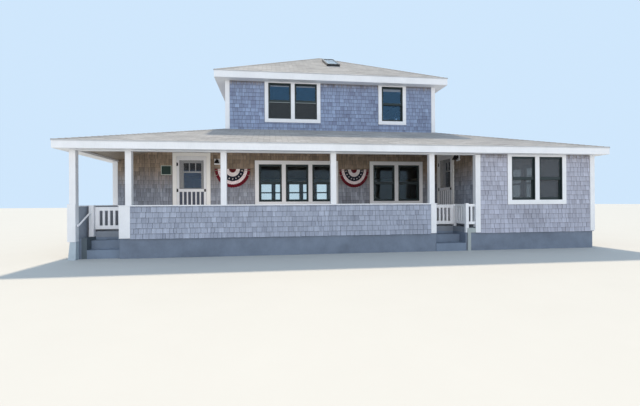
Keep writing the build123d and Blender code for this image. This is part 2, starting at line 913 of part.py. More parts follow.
def skylight():
    """A curbed roof light laid on the front slope."""
    angle = math.degrees(math.atan(upper_pitch))
    start_y = -upper_eave + skylight_start
    length = skylight_length / math.cos(math.radians(angle))
    origin = Pos(skylight_centre, start_y, upper_roof_height(-start_y))
    place = origin * Rot(angle, 0, 0)
    inner_w = skylight_width / 2 - skylight_frame
    outer = block(-skylight_width / 2, skylight_width / 2, 0, length, 0, skylight_curb)
    start, end = skylight_frame, length - skylight_frame
    hole = block(-inner_w, inner_w, start, end, -4 * roof_depth, 2 * skylight_curb)
    low = skylight_curb - skylight_pane_drop
    pane = block(-inner_w, inner_w, start, end, low, low + glass)
    return place * (outer - hole), place * pane, place * hole


def lamp(middle, height):
    """A wall lamp on a white plate, drawn on a wall whose face is y = 0."""
    plate = block(
        middle - lamp_plate / 2, middle + lamp_plate / 2, -lamp_plate_thickness, 0,
        height - lamp_plate / 2, height + lamp_plate / 2,
    )
    reach = lamp_plate_thickness + lamp_arm
    half = lamp_arm_thickness / 2
    arm = block(middle - half, middle + half, -reach, -lamp_plate_thickness, height + half, height + 3 * half)
    shade = Pos(middle, -reach, height) * Cone(lamp_shade_radius, lamp_shade_top_radius, lamp_shade_height)
    return plate + arm + shade


def bunting(middle, width):
    """The space a half-round pleated bunting takes, drawn on a wall whose face is y = 0."""
    half = width / 2
    top = lower_head - bunting_below_head
    disc = Pos(middle, 0, top) * Rot(90, 0, 0) * Ellipse(half, bunting_height)
    solid = extrude(disc, amount=bunting_thickness)
    solid &= block(middle - half, middle + half, -2 * wall, wall, 0, top)
    return Pos(0, -soft_gap, 0) * solid


def on_porch_wall(shape):
    return Pos(0, porch_wall_face, 0) * shape


def on_wing_side(shape):
    """From a drawing on y = 0 to the wing's left wall; drawn x runs towards the front."""
    return Pos(along(wing_start), 0, 0) * Rot(0, 0, -90) * shape


def build():
    write("foundation", *foundation(), corner_base())
    write("main_floor", *main_floor())
    write("porch_deck", porch_deck())
    write(
        "left_steps",
        steps(along(left_steps_start), along(left_recess_end), pedestal_depth, left_recess_depth),
    )
    write("right_steps", steps(along(right_recess_start), along(right_recess_end), 0, right_recess_depth))
    write("corner_pedestal", corner_pedestal())
    write("stair_cheek", stair_cheek())
    run, returns, side = half_walls()
    write("porch_half_wall", run)
    write("side_half_walls", *returns, side)
    write("half_wall_pilasters", *pilasters())
    write("half_wall_caps", *half_wall_caps())
    write("porch_posts", *porch_posts())
    write("porch_beams", *porch_beams())
    write("porch_ceiling", *porch_ceiling())
    lower_walls()
    upper_walls()

    skylight_ring, skylight_pane, skylight_hole = skylight()
    lower_slope = roof_slope(lower_eave - fascia, half_upper, lower_roof_height, roof_depth)
    upper_slope = roof_slope(upper_eave - fascia, 0, upper_roof_height, roof_depth)
    upper_slopes = four_sides(upper_slope)
    upper_slopes[0] -= skylight_hole
    write("lower_roof", *four_sides(lower_slope))
    write("upper_roof", *upper_slopes)
    lower_top = lower_roof_height(lower_eave - fascia)
    upper_top = upper_roof_height(upper_eave - fascia)
    write("lower_eaves", *eave_sides(lower_eave, half_body, lower_soffit, lower_top))
    write("upper_eaves", *eave_sides(upper_eave, half_upper, upper_soffit, upper_top))
    write("corner_boards", *lower_corner_boards(), *upper_corner_boards())
    write_windows("lower", lower_windows())
    write_windows("upper", upper_windows())

    door = along(front_door_centre)
    side_middle = -back(side_door_back)
    write(
        "door_casings",
        on_porch_wall(door_frame(door)),
        on_wing_side(door_frame(side_middle)),
    )
    write("front_screen_door", on_porch_wall(screen_door(door, -1)))
    write("front_door", on_porch_wall(inner_door(door, -1)))
    write("front_door_glass", *[on_porch_wall(pane) for pane in inner_door_glass(door)])
    write("side_screen_door", on_wing_side(screen_door(side_middle, -1)))
    write("side_door", on_wing_side(inner_door(side_middle, -1)))
    write("side_door_glass", *[on_wing_side(pane) for pane in inner_door_glass(side_middle)])
    left_gate, right_gate = gates()
    write("left_gate", left_gate)
    write("right_gate", right_gate)
    write("left_stair_railing", left_railing())
    write("right_stair_railing", right_railing())

    write("skylight_curb", skylight_ring)
    write("skylight_glass", skylight_pane)
    casing_left = door - casing_reach
    casing_right = door + casing_reach
    lamp_height = lower_soffit + lamp_above_soffit
    porch_lamp = lamp(casing_right + porch_lamp_gap, lamp_height)
    side_lamp = lamp(side_middle + casing_reach + side_lamp_gap, lamp_height)
    write("wall_lamps", on_porch_wall(porch_lamp), on_wing_side(side_lamp))
    plaque_right = casing_left - plaque_gap
    plaque_middle = door_top - plaque_below_door_top
    plaque = block(
        plaque_right - plaque_width, plaque_right, -plaque_thickness, 0,
        plaque_middle - plaque_height / 2, plaque_middle + plaque_height / 2,
    )
    write("plaque", on_porch_wall(plaque))
    left_middle = casing_right + left_bunting_gap + left_bunting_width / 2
    write("left_bunting", on_porch_wall(bunting(left_middle, left_bunting_width)))
    low = triple_window_centre + row_width(3, lower_sash) / 2 + casing + right_bunting_gap
    high = twin_window_centre - row_width(2, lower_sash) / 2 - casing - right_bunting_gap
    write("right_bunting", on_porch_wall(bunting(along((low + high) / 2), high - low)))


build()
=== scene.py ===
# %% [markdown]
# # A shingled beach house, dressed around its solids
# The frame holds the whole house as plain solids: walls, roofs, posts, doors and windows, each
# where it belongs. What is missing is everything that makes it look like a house by the sea,
# the courses of cedar shingles, the roof tabs, the paint and the pleated bunting. This lesson adds
# those in Blender, one kind of work at a time, and leaves the solids where they are.

import json
import math
import random

import bmesh
import bpy
from mathutils import Matrix, Vector

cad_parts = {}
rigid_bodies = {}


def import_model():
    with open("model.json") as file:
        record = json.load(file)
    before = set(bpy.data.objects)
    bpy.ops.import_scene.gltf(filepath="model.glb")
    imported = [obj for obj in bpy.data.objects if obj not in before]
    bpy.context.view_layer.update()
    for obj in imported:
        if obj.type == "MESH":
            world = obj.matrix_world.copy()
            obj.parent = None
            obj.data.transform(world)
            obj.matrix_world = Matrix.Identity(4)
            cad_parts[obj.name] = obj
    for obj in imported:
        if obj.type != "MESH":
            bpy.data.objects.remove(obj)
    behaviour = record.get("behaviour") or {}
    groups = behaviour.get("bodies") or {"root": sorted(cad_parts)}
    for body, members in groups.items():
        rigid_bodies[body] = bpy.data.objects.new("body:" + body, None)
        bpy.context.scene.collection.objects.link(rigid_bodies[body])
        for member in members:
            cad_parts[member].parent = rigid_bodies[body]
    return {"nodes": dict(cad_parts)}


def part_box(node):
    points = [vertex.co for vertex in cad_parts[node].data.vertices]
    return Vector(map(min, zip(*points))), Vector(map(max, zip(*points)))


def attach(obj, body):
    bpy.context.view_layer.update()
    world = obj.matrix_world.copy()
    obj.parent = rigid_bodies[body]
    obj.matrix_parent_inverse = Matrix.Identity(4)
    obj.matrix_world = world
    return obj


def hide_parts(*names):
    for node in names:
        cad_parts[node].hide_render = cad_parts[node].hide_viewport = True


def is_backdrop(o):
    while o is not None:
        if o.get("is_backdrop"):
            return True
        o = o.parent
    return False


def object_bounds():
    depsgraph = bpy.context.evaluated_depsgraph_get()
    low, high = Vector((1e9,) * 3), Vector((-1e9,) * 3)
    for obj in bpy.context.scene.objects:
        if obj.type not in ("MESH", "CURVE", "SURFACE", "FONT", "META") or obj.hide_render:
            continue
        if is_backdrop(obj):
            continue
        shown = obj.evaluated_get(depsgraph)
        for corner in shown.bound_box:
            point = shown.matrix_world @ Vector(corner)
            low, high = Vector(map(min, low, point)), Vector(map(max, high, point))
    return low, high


for leftover in list(bpy.data.objects):
    bpy.data.objects.remove(leftover)

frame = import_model()
nodes = frame["nodes"]
cad_low, cad_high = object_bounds()
print("the house fills", [round(side, 2) for side in cad_high - cad_low], "metres")

# %% [markdown]
# ## The camera
# The photograph was taken at eye height from a little left of the middle, looking slightly to the
# right, with a wide lens. The place and the lens come from the vanishing points of the eaves and
# from things of known size, so the solids already line up with it.


# %% The photograph's camera
def in_scene(name, data):
    """A new object of the scene, made round its data."""
    made = bpy.data.objects.new(name, data)
    bpy.context.scene.collection.objects.link(made)
    return made


EYE = Vector((-2.17, -16.19, 1.29))
LOOK_RIGHT = math.radians(7.55)
ROLL = math.radians(-0.37)
LENS = 21.2

lens = bpy.data.cameras.new("photo_camera")
lens.sensor_width = 36
lens.lens = LENS
lens.clip_end = 500
camera = in_scene("photo_camera", lens)
turn = Matrix.Rotation(-LOOK_RIGHT, 4, "Z") @ Matrix.Rotation(math.radians(90), 4, "X")
camera.matrix_world = Matrix.Translation(EYE) @ turn @ Matrix.Rotation(ROLL, 4, "Z")
bpy.context.scene.camera = camera
print("the eye stands at", [round(side, 2) for side in EYE], "behind a lens of", LENS, "mm")

# %% [markdown]
# ## Floor and light
# The house stands on a plain pale floor under a bright pale sky, which gives most of the light, as
# open sky does. In the photograph the roofs are brighter than the front, and the upper storey
# shades the roof before it, so a soft sun stands high behind the house. The front and the porch
# would be too dark under such a sky. A wide warm lamp far in front stands for the open sunlit
# ground, and a long fill lamp low inside the porch for the light that its floor throws up.
# Lamps are hidden from the camera and from reflections, or windows would show them as squares.


# %% Floor, sky and soft lamps
def soft_lamp(name, place, target, size, power, colour=(1, 1, 1)):
    """An area lamp; size is its width and its height."""
    light = bpy.data.lights.new(name, "AREA")
    light.shape = "RECTANGLE"
    light.size, light.size_y = size
    light.energy = power
    light.color = colour
    lamp = in_scene(name, light)
    aim = (Vector(target) - Vector(place)).to_track_quat("-Z", "Y").to_matrix().to_4x4()
    lamp.matrix_world = Matrix.Translation(place) @ aim
    lamp.visible_camera = False
    lamp.visible_glossy = False
    lamp.visible_transmission = False


soft_lamp("wide_front_lamp", (-3, -36, 8), (0, -4, 2), (26, 14), 2700, (1.0, 0.86, 0.74))
soft_lamp("porch_fill_lamp", (-3.0, -6.5, 1.32), (-3.0, -4.3, 1.9), (4.0, 0.3), 26, (1.0, 0.96, 0.92))

SUN_BEHIND = math.radians(35)
sunlight = bpy.data.lights.new("high_soft_sun", "SUN")
sunlight.energy = 3.9
sunlight.angle = math.radians(3)
sunlight.color = (1.0, 0.86, 0.66)
in_scene("high_soft_sun", sunlight).matrix_world = Matrix.Rotation(-SUN_BEHIND, 4, "X")

world = bpy.data.worlds.new("pale_sky")
world.use_nodes = True
sky = world.node_tree.nodes["Background"]
sky.inputs["Color"].default_value = (0.63, 0.80, 0.98, 1)
sky.inputs["Strength"].default_value = 1.0
bpy.context.scene.world = world
bpy.context.scene.view_settings.view_transform = "Standard"
bpy.context.scene.view_settings.look = "None"

floor_shape = bmesh.new()
bmesh.ops.create_grid(floor_shape, x_segments=1, y_segments=1, size=150)
floor_mesh = bpy.data.meshes.new("pale_floor")
floor_shape.to_mesh(floor_mesh)
floor_shape.free()
floor = in_scene("pale_floor", floor_mesh)
floor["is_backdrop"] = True
print("lamps and floor are in place")

# %% [markdown]
# ## Helpers for materials
# A material here is a short recipe of shader nodes. `add` makes one node, sets what doesn't
# change and wires what does, and the small functions under it name the few nodes that nearly
# every finish needs. All patterns read Object coordinates, in metres, so a pattern has the same
# scale on every piece.


# %% Node helpers
def add(kind, settings=None, tree=None, **wires):
    """One node, in the tree of what is wired to it: wires are values or other nodes' outputs."""
    for value in wires.values():
        if isinstance(value, bpy.types.NodeSocket):
            tree = value.id_data
    node = tree.nodes.new(kind)
    for option, value in (settings or {}).items():
        setattr(node, option, value)
    for name, value in wires.items():
        socket = node.inputs[int(name[1:])] if name[1:].isdigit() else node.inputs[name]
        if isinstance(value, bpy.types.NodeSocket):
            tree.links.new(value, socket)
        else:
            socket.default_value = value
    return node


def start_material(name, roughness, **constants):
    """A new material, its tree and its main shader with the constant values set."""
    made = bpy.data.materials.new(name)
    made.use_nodes = True
    shader = made.node_tree.nodes["Principled BSDF"]
    shader.inputs["Roughness"].default_value = roughness
    for socket, value in constants.items():
        shader.inputs[socket.replace("_", " ")].default_value = value
    return made, made.node_tree, shader


def place_of(tree):
    return add("ShaderNodeTexCoord", tree=tree).outputs["Object"]


def stretched(vector, scale):
    return add("ShaderNodeMapping", _0=vector, Scale=scale).outputs["Vector"]


def noise(vector, scale, detail=3.0, roughness=0.5):
    node = add("ShaderNodeTexNoise", Vector=vector, Scale=scale, Detail=detail, Roughness=roughness)
    return node.outputs["Fac"]


def remap(value, low, high, to_low=0.0, to_high=1.0):
    return add("ShaderNodeMapRange", _0=value, _1=low, _2=high, _3=to_low, _4=to_high).outputs[0]


def blend(share, first, second, how="MIX"):
    """Two colours mixed by a share of the second."""
    settings = {"data_type": "RGBA", "blend_type": how}
    return add("ShaderNodeMix", settings, _0=share, _6=first, _7=second).outputs[2]


def figure(operation, first, second=0.0):
    return add("ShaderNodeMath", {"operation": operation}, _0=first, _1=second).outputs[0]


def axis(vector, name):
    return add("ShaderNodeSeparateXYZ", _0=vector).outputs[name]


def bump(shader, height, distance, strength=1.0):
    node = add("ShaderNodeBump", Height=height, Distance=distance, Strength=strength)
    shader.id_data.links.new(node.outputs["Normal"], shader.inputs["Normal"])


def colour_in(shader, colour):
    shader.id_data.links.new(colour, shader.inputs["Base Color"])


def solid(red, green, blue):
    return (red, green, blue, 1)


# %% [markdown]
# ## Weathered cedar
# Cedar shingles go from brown to silver grey in the sun and the salt air, and keep their brown
# under the eaves; the darker band just under each eave is that brown together with painted shade
# of the eave. Every shingle weathers a little differently, so each one carries a number
# called `tone`, and the material turns it into a lighter or darker grey. Fine upright grain comes
# from noise that is stretched along Z. Dirt gathers in the joints. Under each lap the material
# paints the shadow of the shingle above, together with the dirt there, and a lighter foot is a
# painted highlight where light catches each butt. Those lines are what the eye reads as courses from
# far off, so a shingle also knows how far up and how far across each of its points lies.


# %% Shingle materials
def attribute(tree, name):
    return add("ShaderNodeAttribute", {"attribute_name": name}, tree).outputs["Fac"]


def shaded(colour, value):
    """A colour made darker or lighter by a value round 1."""
    grey = add("ShaderNodeCombineColor", _0=value, _1=value, _2=value).outputs[0]
    return blend(1.0, colour, grey, "MULTIPLY")


def off_half(value):
    """How far a value lies from a half, the middle of a shingle or of a board."""
    return figure("ABSOLUTE", figure("SUBTRACT", value, 0.5))


def cedar(name, dark, light, brown, brown_from, brown_to, lap_shade=0.66, joint_shade=0.8, streaks=0.08):
    """Grey shingles whose colour turns to brown between two heights; under an eave the band also paints its
    shade.
    """
    made, tree, shader = start_material(name, 0.85)
    place = place_of(tree)
    grain = noise(stretched(place, (90, 90, 5)), 1.0, 4.0, 0.6)
    weather = noise(stretched(place, (0.9, 0.9, 0.5)), 1.0, 3.0, 0.55)
    streak = noise(stretched(place, (24, 24, 1.5)), 1.0, 3.0, 0.6)
    rough_grain = figure("MULTIPLY", figure("SUBTRACT", grain, 0.5), 0.9)
    share = figure("ADD", attribute(tree, "tone"), rough_grain)
    grey = blend(share, dark, light)
    uneven = figure("ADD", axis(place, "Z"), remap(streak, 0.3, 0.7, -0.12, 0.12))
    # Under an eave this brown band also paints the shade of the eave.
    eave_brown_and_shade = remap(uneven, brown_from, brown_to)
    wood = blend(eave_brown_and_shade, grey, shaded(brown, remap(share, 0.0, 1.0, 0.65, 1.35)))
    wood = shaded(wood, remap(weather, 0.35, 0.65, 0.90, 1.08))
    wood = shaded(wood, remap(streak, 0.35, 0.65, 1.0 - streaks, 1.0 + streaks))
    side_dirt = remap(off_half(attribute(tree, "across")), 0.42, 0.5, 1.0, joint_shade)
    # Painted shadow of the butt above, with dirt, darkens the strip under each lap.
    lap_dirt_and_shade = remap(attribute(tree, "rise"), 0.66, 0.82, 1.0, lap_shade)
    # The foot of each shingle is painted lighter, a painted highlight where light catches the butt.
    painted_foot_highlight = remap(attribute(tree, "rise"), 0.02, 0.20, 1.08, 1.0)
    dirt_shade_and_highlight = figure("MULTIPLY", figure("MULTIPLY", side_dirt, lap_dirt_and_shade), painted_foot_highlight)
    colour_in(shader, shaded(wood, dirt_shade_and_highlight))
    bump(shader, grain, 0.0015, 0.7)
    return made


CEDAR_BROWN = solid(0.27, 0.21, 0.16)
# Dark brown-grey under the eaves: sheltered cedar together with painted shade of the eave.
EAVE_BROWN_AND_SHADE = solid(0.22, 0.20, 0.20)
# Bluer than the lower cedar: painted shade, the blue of the sky that lights the walls when the sun is
# behind.
blue_shaded_upper_cedar = cedar("blue_shaded_upper_cedar", solid(0.18, 0.21, 0.315), solid(0.31, 0.39, 0.56), EAVE_BROWN_AND_SHADE, 5.18, 5.34)
lower_cedar = cedar("lower_cedar", solid(0.33, 0.335, 0.40), solid(0.48, 0.50, 0.60), EAVE_BROWN_AND_SHADE, 2.46, 2.60,
                    0.72, 0.86)
# Darker than the lower walls' cedar: painted shade of the shrubs that stand before the half wall.
shrub_shaded_rail_cedar = cedar("shrub_shaded_rail_cedar", solid(0.27, 0.295, 0.37), solid(0.42, 0.46, 0.56), EAVE_BROWN_AND_SHADE, 3.0, 3.1,
                   0.72, 0.86)
porch_cedar = cedar("porch_cedar", solid(0.17, 0.18, 0.21), solid(0.36, 0.39, 0.46), CEDAR_BROWN, 1.70, 2.40,
                    0.80, 0.86, 0.20)
print("cedar:", [kind.name for kind in (blue_shaded_upper_cedar, lower_cedar, shrub_shaded_rail_cedar, porch_cedar)])

# %% [markdown]
# ## Paint
# Posts, casings, doors, floors and steps are painted wood and concrete. One flat colour would
# look like plastic, and no texture file fits a house by itself, so each paint is an even colour
# that noise shades slowly for dirt and sun, with a fine bump from the brush. The boards of the
# deck, the porch ceiling and the floors are grooves that repeat across the same material.


# %% Painted finishes
def paint(name, colour, roughness=0.45, dirt=0.12, brush=0.0006, boards=None):
    """Brushed paint. boards is a pair, the axis across the boards and their width in metres."""
    made, tree, shader = start_material(name, roughness)
    place = place_of(tree)
    stain = remap(noise(place, 1.7, 4.0, 0.6), 0.35, 0.7, 1.0, 1.0 - dirt)
    streak = noise(stretched(place, (60, 60, 9)), 1.0, 3.0)
    shade = figure("MULTIPLY", stain, remap(streak, 0.2, 0.8, 0.96, 1.03))
    height = streak
    if boards:
        across, width = boards
        turns = figure("DIVIDE", axis(place, across), width)
        groove = remap(off_half(figure("FRACT", turns)), 0.455, 0.485, 1.0, 0.0)
        number = figure("FLOOR", turns)
        board = add("ShaderNodeTexWhiteNoise", {"noise_dimensions": "1D"}, W=number).outputs["Value"]
        shade = figure("MULTIPLY", shade, remap(board, 0.0, 1.0, 0.90, 1.05))
        shade = figure("MULTIPLY", shade, remap(groove, 0.0, 1.0, 0.35, 1.0))
        height = figure("ADD", height, figure("MULTIPLY", groove, 6.0))
    colour_in(shader, shaded(colour, shade))
    bump(shader, height, brush)
    return made


white_paint = paint("white_paint", solid(0.83, 0.84, 0.87), 0.42, 0.08)
# Creamier and brighter than the white paint: cream is the casings' own paint, and the extra brightness is
# painted light on trim in the porch's shade.
lit_casing_paint = paint("lit_door_casing_paint", solid(0.92, 0.91, 0.89), 0.42, 0.05)
sash_paint = paint("sash_paint", solid(0.018, 0.030, 0.032), 0.38, 0.2)
concrete = paint("slate_concrete", solid(0.20, 0.24, 0.31), 0.8, 0.3, 0.002)
step_paint = paint("step_paint", solid(0.20, 0.25, 0.33), 0.6, 0.25, 0.001)
panel_grey = paint("porch_side_grey", solid(0.36, 0.40, 0.47), 0.6, 0.2)
slate_paint = paint("cheek_slate_paint", solid(0.10, 0.125, 0.145), 0.6, 0.2)
deck_paint = paint("deck_paint", solid(0.26, 0.29, 0.34), 0.55, 0.2, 0.0008, boards=("Y", 0.09))
ceiling_boards = paint("ceiling_boards", solid(0.36, 0.30, 0.24), 0.5, 0.2, 0.0008, boards=("Y", 0.085))
floor_boards = paint("room_floor_boards", solid(0.36, 0.25, 0.16), 0.4, 0.2, 0.0006, boards=("X", 0.12))
plaque_green = paint("plaque_green", solid(0.006, 0.028, 0.019), 0.35, 0.15)
black_metal = paint("black_metal", solid(0.012, 0.012, 0.013), 0.35, 0.2, 0.0003)
curb_metal = paint("roof_light_curb", solid(0.022, 0.024, 0.028), 0.22, 0.1, 0.0001)
edge_metal = paint("roof_edge_metal", solid(0.58, 0.60, 0.63), 0.5, 0.2, 0.0003)
print(len(bpy.data.materials), "materials after the paints")

# %% [markdown]
# ## Roofing
# The roof tabs are asphalt felt under mineral granules about a millimetre across. Those are too
# many to model, so fine noise speckles the colour. Each tab has a tone of its own, and the numbers
# that say how far across and up a point lies darken the slots and the strip under each lap.


# %% Granules and felt
def granules(name, dark, light):
    """Felt with mineral granules, darker in its slots and under each lap."""
    made, tree, shader = start_material(name, 0.9)
    place = place_of(tree)
    speck = noise(place, 260.0, 2.0, 0.7)
    stain = noise(place, 0.6, 4.0, 0.6)
    share = figure("MULTIPLY", attribute(tree, "tone"), 0.6)
    share = figure("ADD", share, remap(speck, 0.3, 0.7, 0.0, 0.4))
    share = figure("ADD", share, remap(stain, 0.35, 0.65, -0.12, 0.12))
    # Slots are darker with dirt; the strip under each lap is darker with dirt and painted shadow of the tab
    # above, and dirt carries both.
    slot_dirt = remap(off_half(attribute(tree, "across")), 0.47, 0.5, 1.0, 0.8)
    lap_dirt_and_shade = remap(attribute(tree, "rise"), 0.64, 0.82, 1.0, 0.6)
    dirt = figure("MULTIPLY", slot_dirt, lap_dirt_and_shade)
    colour_in(shader, shaded(blend(share, dark, light), dirt))
    bump(shader, speck, 0.002, 0.8)
    return made


roof_granules = granules("roof_granules", solid(0.255, 0.255, 0.265), solid(0.52, 0.51, 0.51))
roof_felt = paint("roof_felt", solid(0.10, 0.10, 0.11), 0.9, 0.2, 0.001)
print("roof finishes:", roof_granules.name, "and", roof_felt.name)

# %% [markdown]
# ## Glass and screens
# The panes are clear slabs, so the rooms and the far windows show through them. They could be
# dark mirrors, but the light that comes through the house would be lost. Where a pane mirrors more
# of the sky, its glass is denser. The threads of an insect screen are finer than a pixel, so a
# screen is a thin sheet whose Alpha is the share of the view that its threads cover.


# %% Panes and mesh
def window_glass(name, tint, clear, density, mirror_tint):
    """Clear glass: density is its IOR, and a denser glass mirrors more of the sky."""
    made, tree, shader = start_material(
        name, 0.02, Transmission_Weight=1.0, IOR=density, Specular_Tint=mirror_tint)
    place = place_of(tree)
    colour_in(shader, blend(noise(place, 2.0), tint, clear))
    bump(shader, noise(place, 3.0, 1.0), 0.002, 0.25)
    return made


def insect_screen(name, colour, cover):
    """Fine mesh: cover is the share of the view that its threads stop."""
    made, tree, shader = start_material(name, 0.6, Alpha=cover)
    place = place_of(tree)
    weave = noise(place, 700.0, 1.0)
    colour_in(shader, blend(weave, colour, solid(0.05, 0.055, 0.06)))
    return made


clear_glass = window_glass("clear_glass", solid(0.82, 0.86, 0.84), solid(0.90, 0.93, 0.91), 1.5,
                           solid(0.55, 0.62, 0.66))
# The door and upper panes mirror through a blue tint, a painted blue of the sky; the dark blue tint of the
# upper panes also paints the shade of the dim rooms behind them.
door_glass = window_glass("door_glass", solid(0.70, 0.78, 0.86), solid(0.80, 0.86, 0.92), 2.0,
                          solid(0.55, 0.72, 1.0))
upper_glass = window_glass("sky_tinted_upper_glass", solid(0.40, 0.52, 0.66), solid(0.50, 0.62, 0.74), 1.8,
                           solid(0.42, 0.72, 1.0))
roof_glass = window_glass("roof_light_glass", solid(0.80, 0.88, 0.92), solid(0.90, 0.95, 0.97), 3.4,
                          solid(1.0, 1.0, 1.0))
fine_screen = insect_screen("fine_screen", solid(0.12, 0.125, 0.13), 0.22)
dense_screen = insect_screen("dense_screen", solid(0.012, 0.015, 0.017), 0.82)
grey_screen = insect_screen("grey_screen", solid(0.14, 0.155, 0.18), 0.66)
picket_screen = insect_screen("picket_screen", solid(0.14, 0.16, 0.23), 0.90)
print(len(bpy.data.materials), "materials so far")

# %% [markdown]
# ## Helpers for shapes
# New pieces are made with bmesh operators. `add_box` places one scaled cube, and `keep_piece`
# turns a finished bmesh into an object that rides on a body of the frame. `solid_boxes` measures
# the separate solids of a CAD node, so a piece can be fitted round each window or post without
# repeating its size here.


# %% Shape helpers
WELD_REACH = 0.00001


def placed_box(shape, place, low, high):
    """A box between two corners of a frame, as a cube that is scaled and moved into place."""
    low, high = Vector(low), Vector(high)
    grown = Matrix.Translation((low + high) / 2) @ Matrix.Diagonal((*(high - low), 1))
    return bmesh.ops.create_cube(shape, size=1, matrix=place @ grown)["verts"]


def add_box(shape, low, high):
    return placed_box(shape, Matrix(), low, high)


def edges_of(corners):
    """Every edge that meets some corners, each once and always in the same order."""
    return list(dict.fromkeys(edge for corner in corners for edge in corner.link_edges))


def soften(shape, corners, offset, segments=2):
    """Rounds the edges of one box."""
    bmesh.ops.bevel(shape, geom=edges_of(corners), offset=offset, segments=segments, profile=0.5,
                    affect="EDGES", material=-1)


def quarter_turns(number):
    return Matrix.Rotation(math.radians(90 * number), 4, "Z")


def keep_piece(name, shape, material, body="house", smooth=False):
    """Ends a bmesh: it becomes a named piece with a finish, and rides on a body."""
    shape.normal_update()
    mesh = bpy.data.meshes.new(name)
    shape.to_mesh(mesh)
    shape.free()
    mesh.materials.append(material)
    for face in mesh.polygons:
        face.use_smooth = smooth
    piece = in_scene(name, mesh)
    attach(piece, body)
    print(name, "has", len(mesh.polygons), "faces")
    return piece


def box_round(points):
    """The lowest and highest corner of the box round some points."""
    return [Vector([pick(point[k] for point in points) for k in range(3)]) for pick in (min, max)]


def solid_boxes(node):
    """The box round each separate solid of a CAD node, in the order of their lowest corners."""
    shape = bmesh.new()
    shape.from_mesh(nodes[node].data)
    bmesh.ops.remove_doubles(shape, verts=shape.verts, dist=WELD_REACH)
    waiting = set(shape.verts)
    boxes = []
    while waiting:
        reached = [waiting.pop()]
        corners = []
        while reached:
            vertex = reached.pop()
            corners.append(vertex.co.copy())
            for edge in vertex.link_edges:
                other = edge.other_vert(vertex)
                if other in waiting:
                    waiting.remove(other)
                    reached.append(other)
        boxes.append(box_round(corners))
    shape.free()
    return sorted(boxes, key=lambda box: tuple(box[0]))


trim_boxes = []
for trim in ("lower_window_casings", "upper_window_casings", "door_casings", "corner_boards", "porch_beams"):
    trim_boxes += solid_boxes(trim)
print(len(trim_boxes), "pieces of trim stop the shingles")

# %% [markdown]
# ## One shingle
# A cedar shingle is a thin wedge of wood whose foot stands out over the course below. One flat
# texture can't give the ragged shadow lines that the eye reads as shingles, so each shingle is a
# real piece: a cube that a matrix shears so that its foot stands out and its head lies on the
# wall. The same function lays the tabs of the roof, where the frame lies on the slope.


# %% One shingle
SHINGLE_THICK = 0.006
SHINGLE_LIFT = 0.012


def shingle_layers(shape):
    """What each shingle tells its material: its tone, and how far across and up a point lies."""
    return (shape.faces.layers.float.new("tone"), shape.verts.layers.float.new("across"),
            shape.verts.layers.float.new("rise"))


def lay_one(shape, layers, place, left, right, foot, head, thick, lift, tone):
    """One shingle or tab: its head lies on the surface and its foot stands out by lift."""
    width, height = right - left, head - foot
    wedge = Matrix(((width, 0, 0, 0), (0, thick, -lift, 0), (0, 0, height, 0), (0, 0, 0, 1)))
    middle = Matrix.Translation(((left + right) / 2, (thick + lift) / 2, (foot + head) / 2))
    made = bmesh.ops.create_cube(shape, size=1, matrix=place @ middle @ wedge)["verts"]
    tones, across, rise = layers
    for face in {face for vertex in made for face in vertex.link_faces}:
        face[tones] = tone
    for vertex in made[4:]:
        vertex[across] = 1.0
    for vertex in made[1::2]:
        vertex[rise] = 1.0


print("a shingle is", SHINGLE_THICK, "m thick, and its foot stands out by", SHINGLE_LIFT, "m")

# %% [markdown]
# ## Courses
# A shingled wall is laid in courses from the bottom up, each lapping the one below, with joints
# at random. Shingles could be laid everywhere and cut off at the trim afterwards, but a carpenter
# fits them between casings and corner boards. So each course is first divided into the runs that
# no trim covers, and a run is then filled from left to right.


# %% Laying courses
EXPOSURE = 0.127
SHINGLE_WIDTHS = (0.07, 0.165)
SHINGLE_GAPS = (0.003, 0.009)
SHINGLE_LAP = 0.024
SHINGLE_TONE = (0.5, 0.18)
RAGGED_FOOT = 0.006
LEAST_RUN = 0.01
LEAST_HEIGHT = 0.012
OVERLAP = 0.002


def some_tone(chance, middle, spread):
    return min(1.0, max(0.0, chance.gauss(middle, spread)))


def free_runs(length, foot, head, blocked):
    """The stretches of one course that no trim covers, each with its own foot and head."""
    ends = {0.0, length}
    crossing = [box for box in blocked if box[2] < head - OVERLAP and box[3] > foot + OVERLAP]
    for box in crossing:
        ends |= {min(max(side, 0.0), length) for side in box[:2]}
    ends = sorted(ends)
    for start, end in zip(ends, ends[1:]):
        low, high = foot, head
        for left, right, bottom, top in crossing:
            if left < (start + end) / 2 < right:
                if bottom > foot + OVERLAP:
                    high = min(high, bottom)
                else:
                    low = max(low, top)
        if end - start > LEAST_RUN and high - low > LEAST_HEIGHT:
            yield start, end, low, high


def lay_courses(shape, place, length, low, high, blocked, chance):
    """Courses from low to high, each shingle of a random width and tone."""
    layers = shingle_layers(shape)
    foot = low
    while foot < high - LEAST_RUN:
        head = min(foot + EXPOSURE, high)
        for start, end, bottom, top in free_runs(length, foot, head, blocked):
            under = SHINGLE_LAP if top == head and head < high else 0
            left = start
            while left < end:
                right = left + chance.uniform(*SHINGLE_WIDTHS)
                if right > end - SHINGLE_WIDTHS[0] * 0.6:
                    right = end
                ragged = chance.uniform(0, RAGGED_FOOT) if bottom == foot else 0
                gap = chance.uniform(*SHINGLE_GAPS)
                lay_one(shape, layers, place, left, right - gap, bottom + ragged, top + under,
                        SHINGLE_THICK, SHINGLE_LIFT, some_tone(chance, *SHINGLE_TONE))
                left = right
        foot += EXPOSURE


print("a course shows", EXPOSURE, "m, of shingles", SHINGLE_WIDTHS[0], "to", SHINGLE_WIDTHS[1], "m wide")

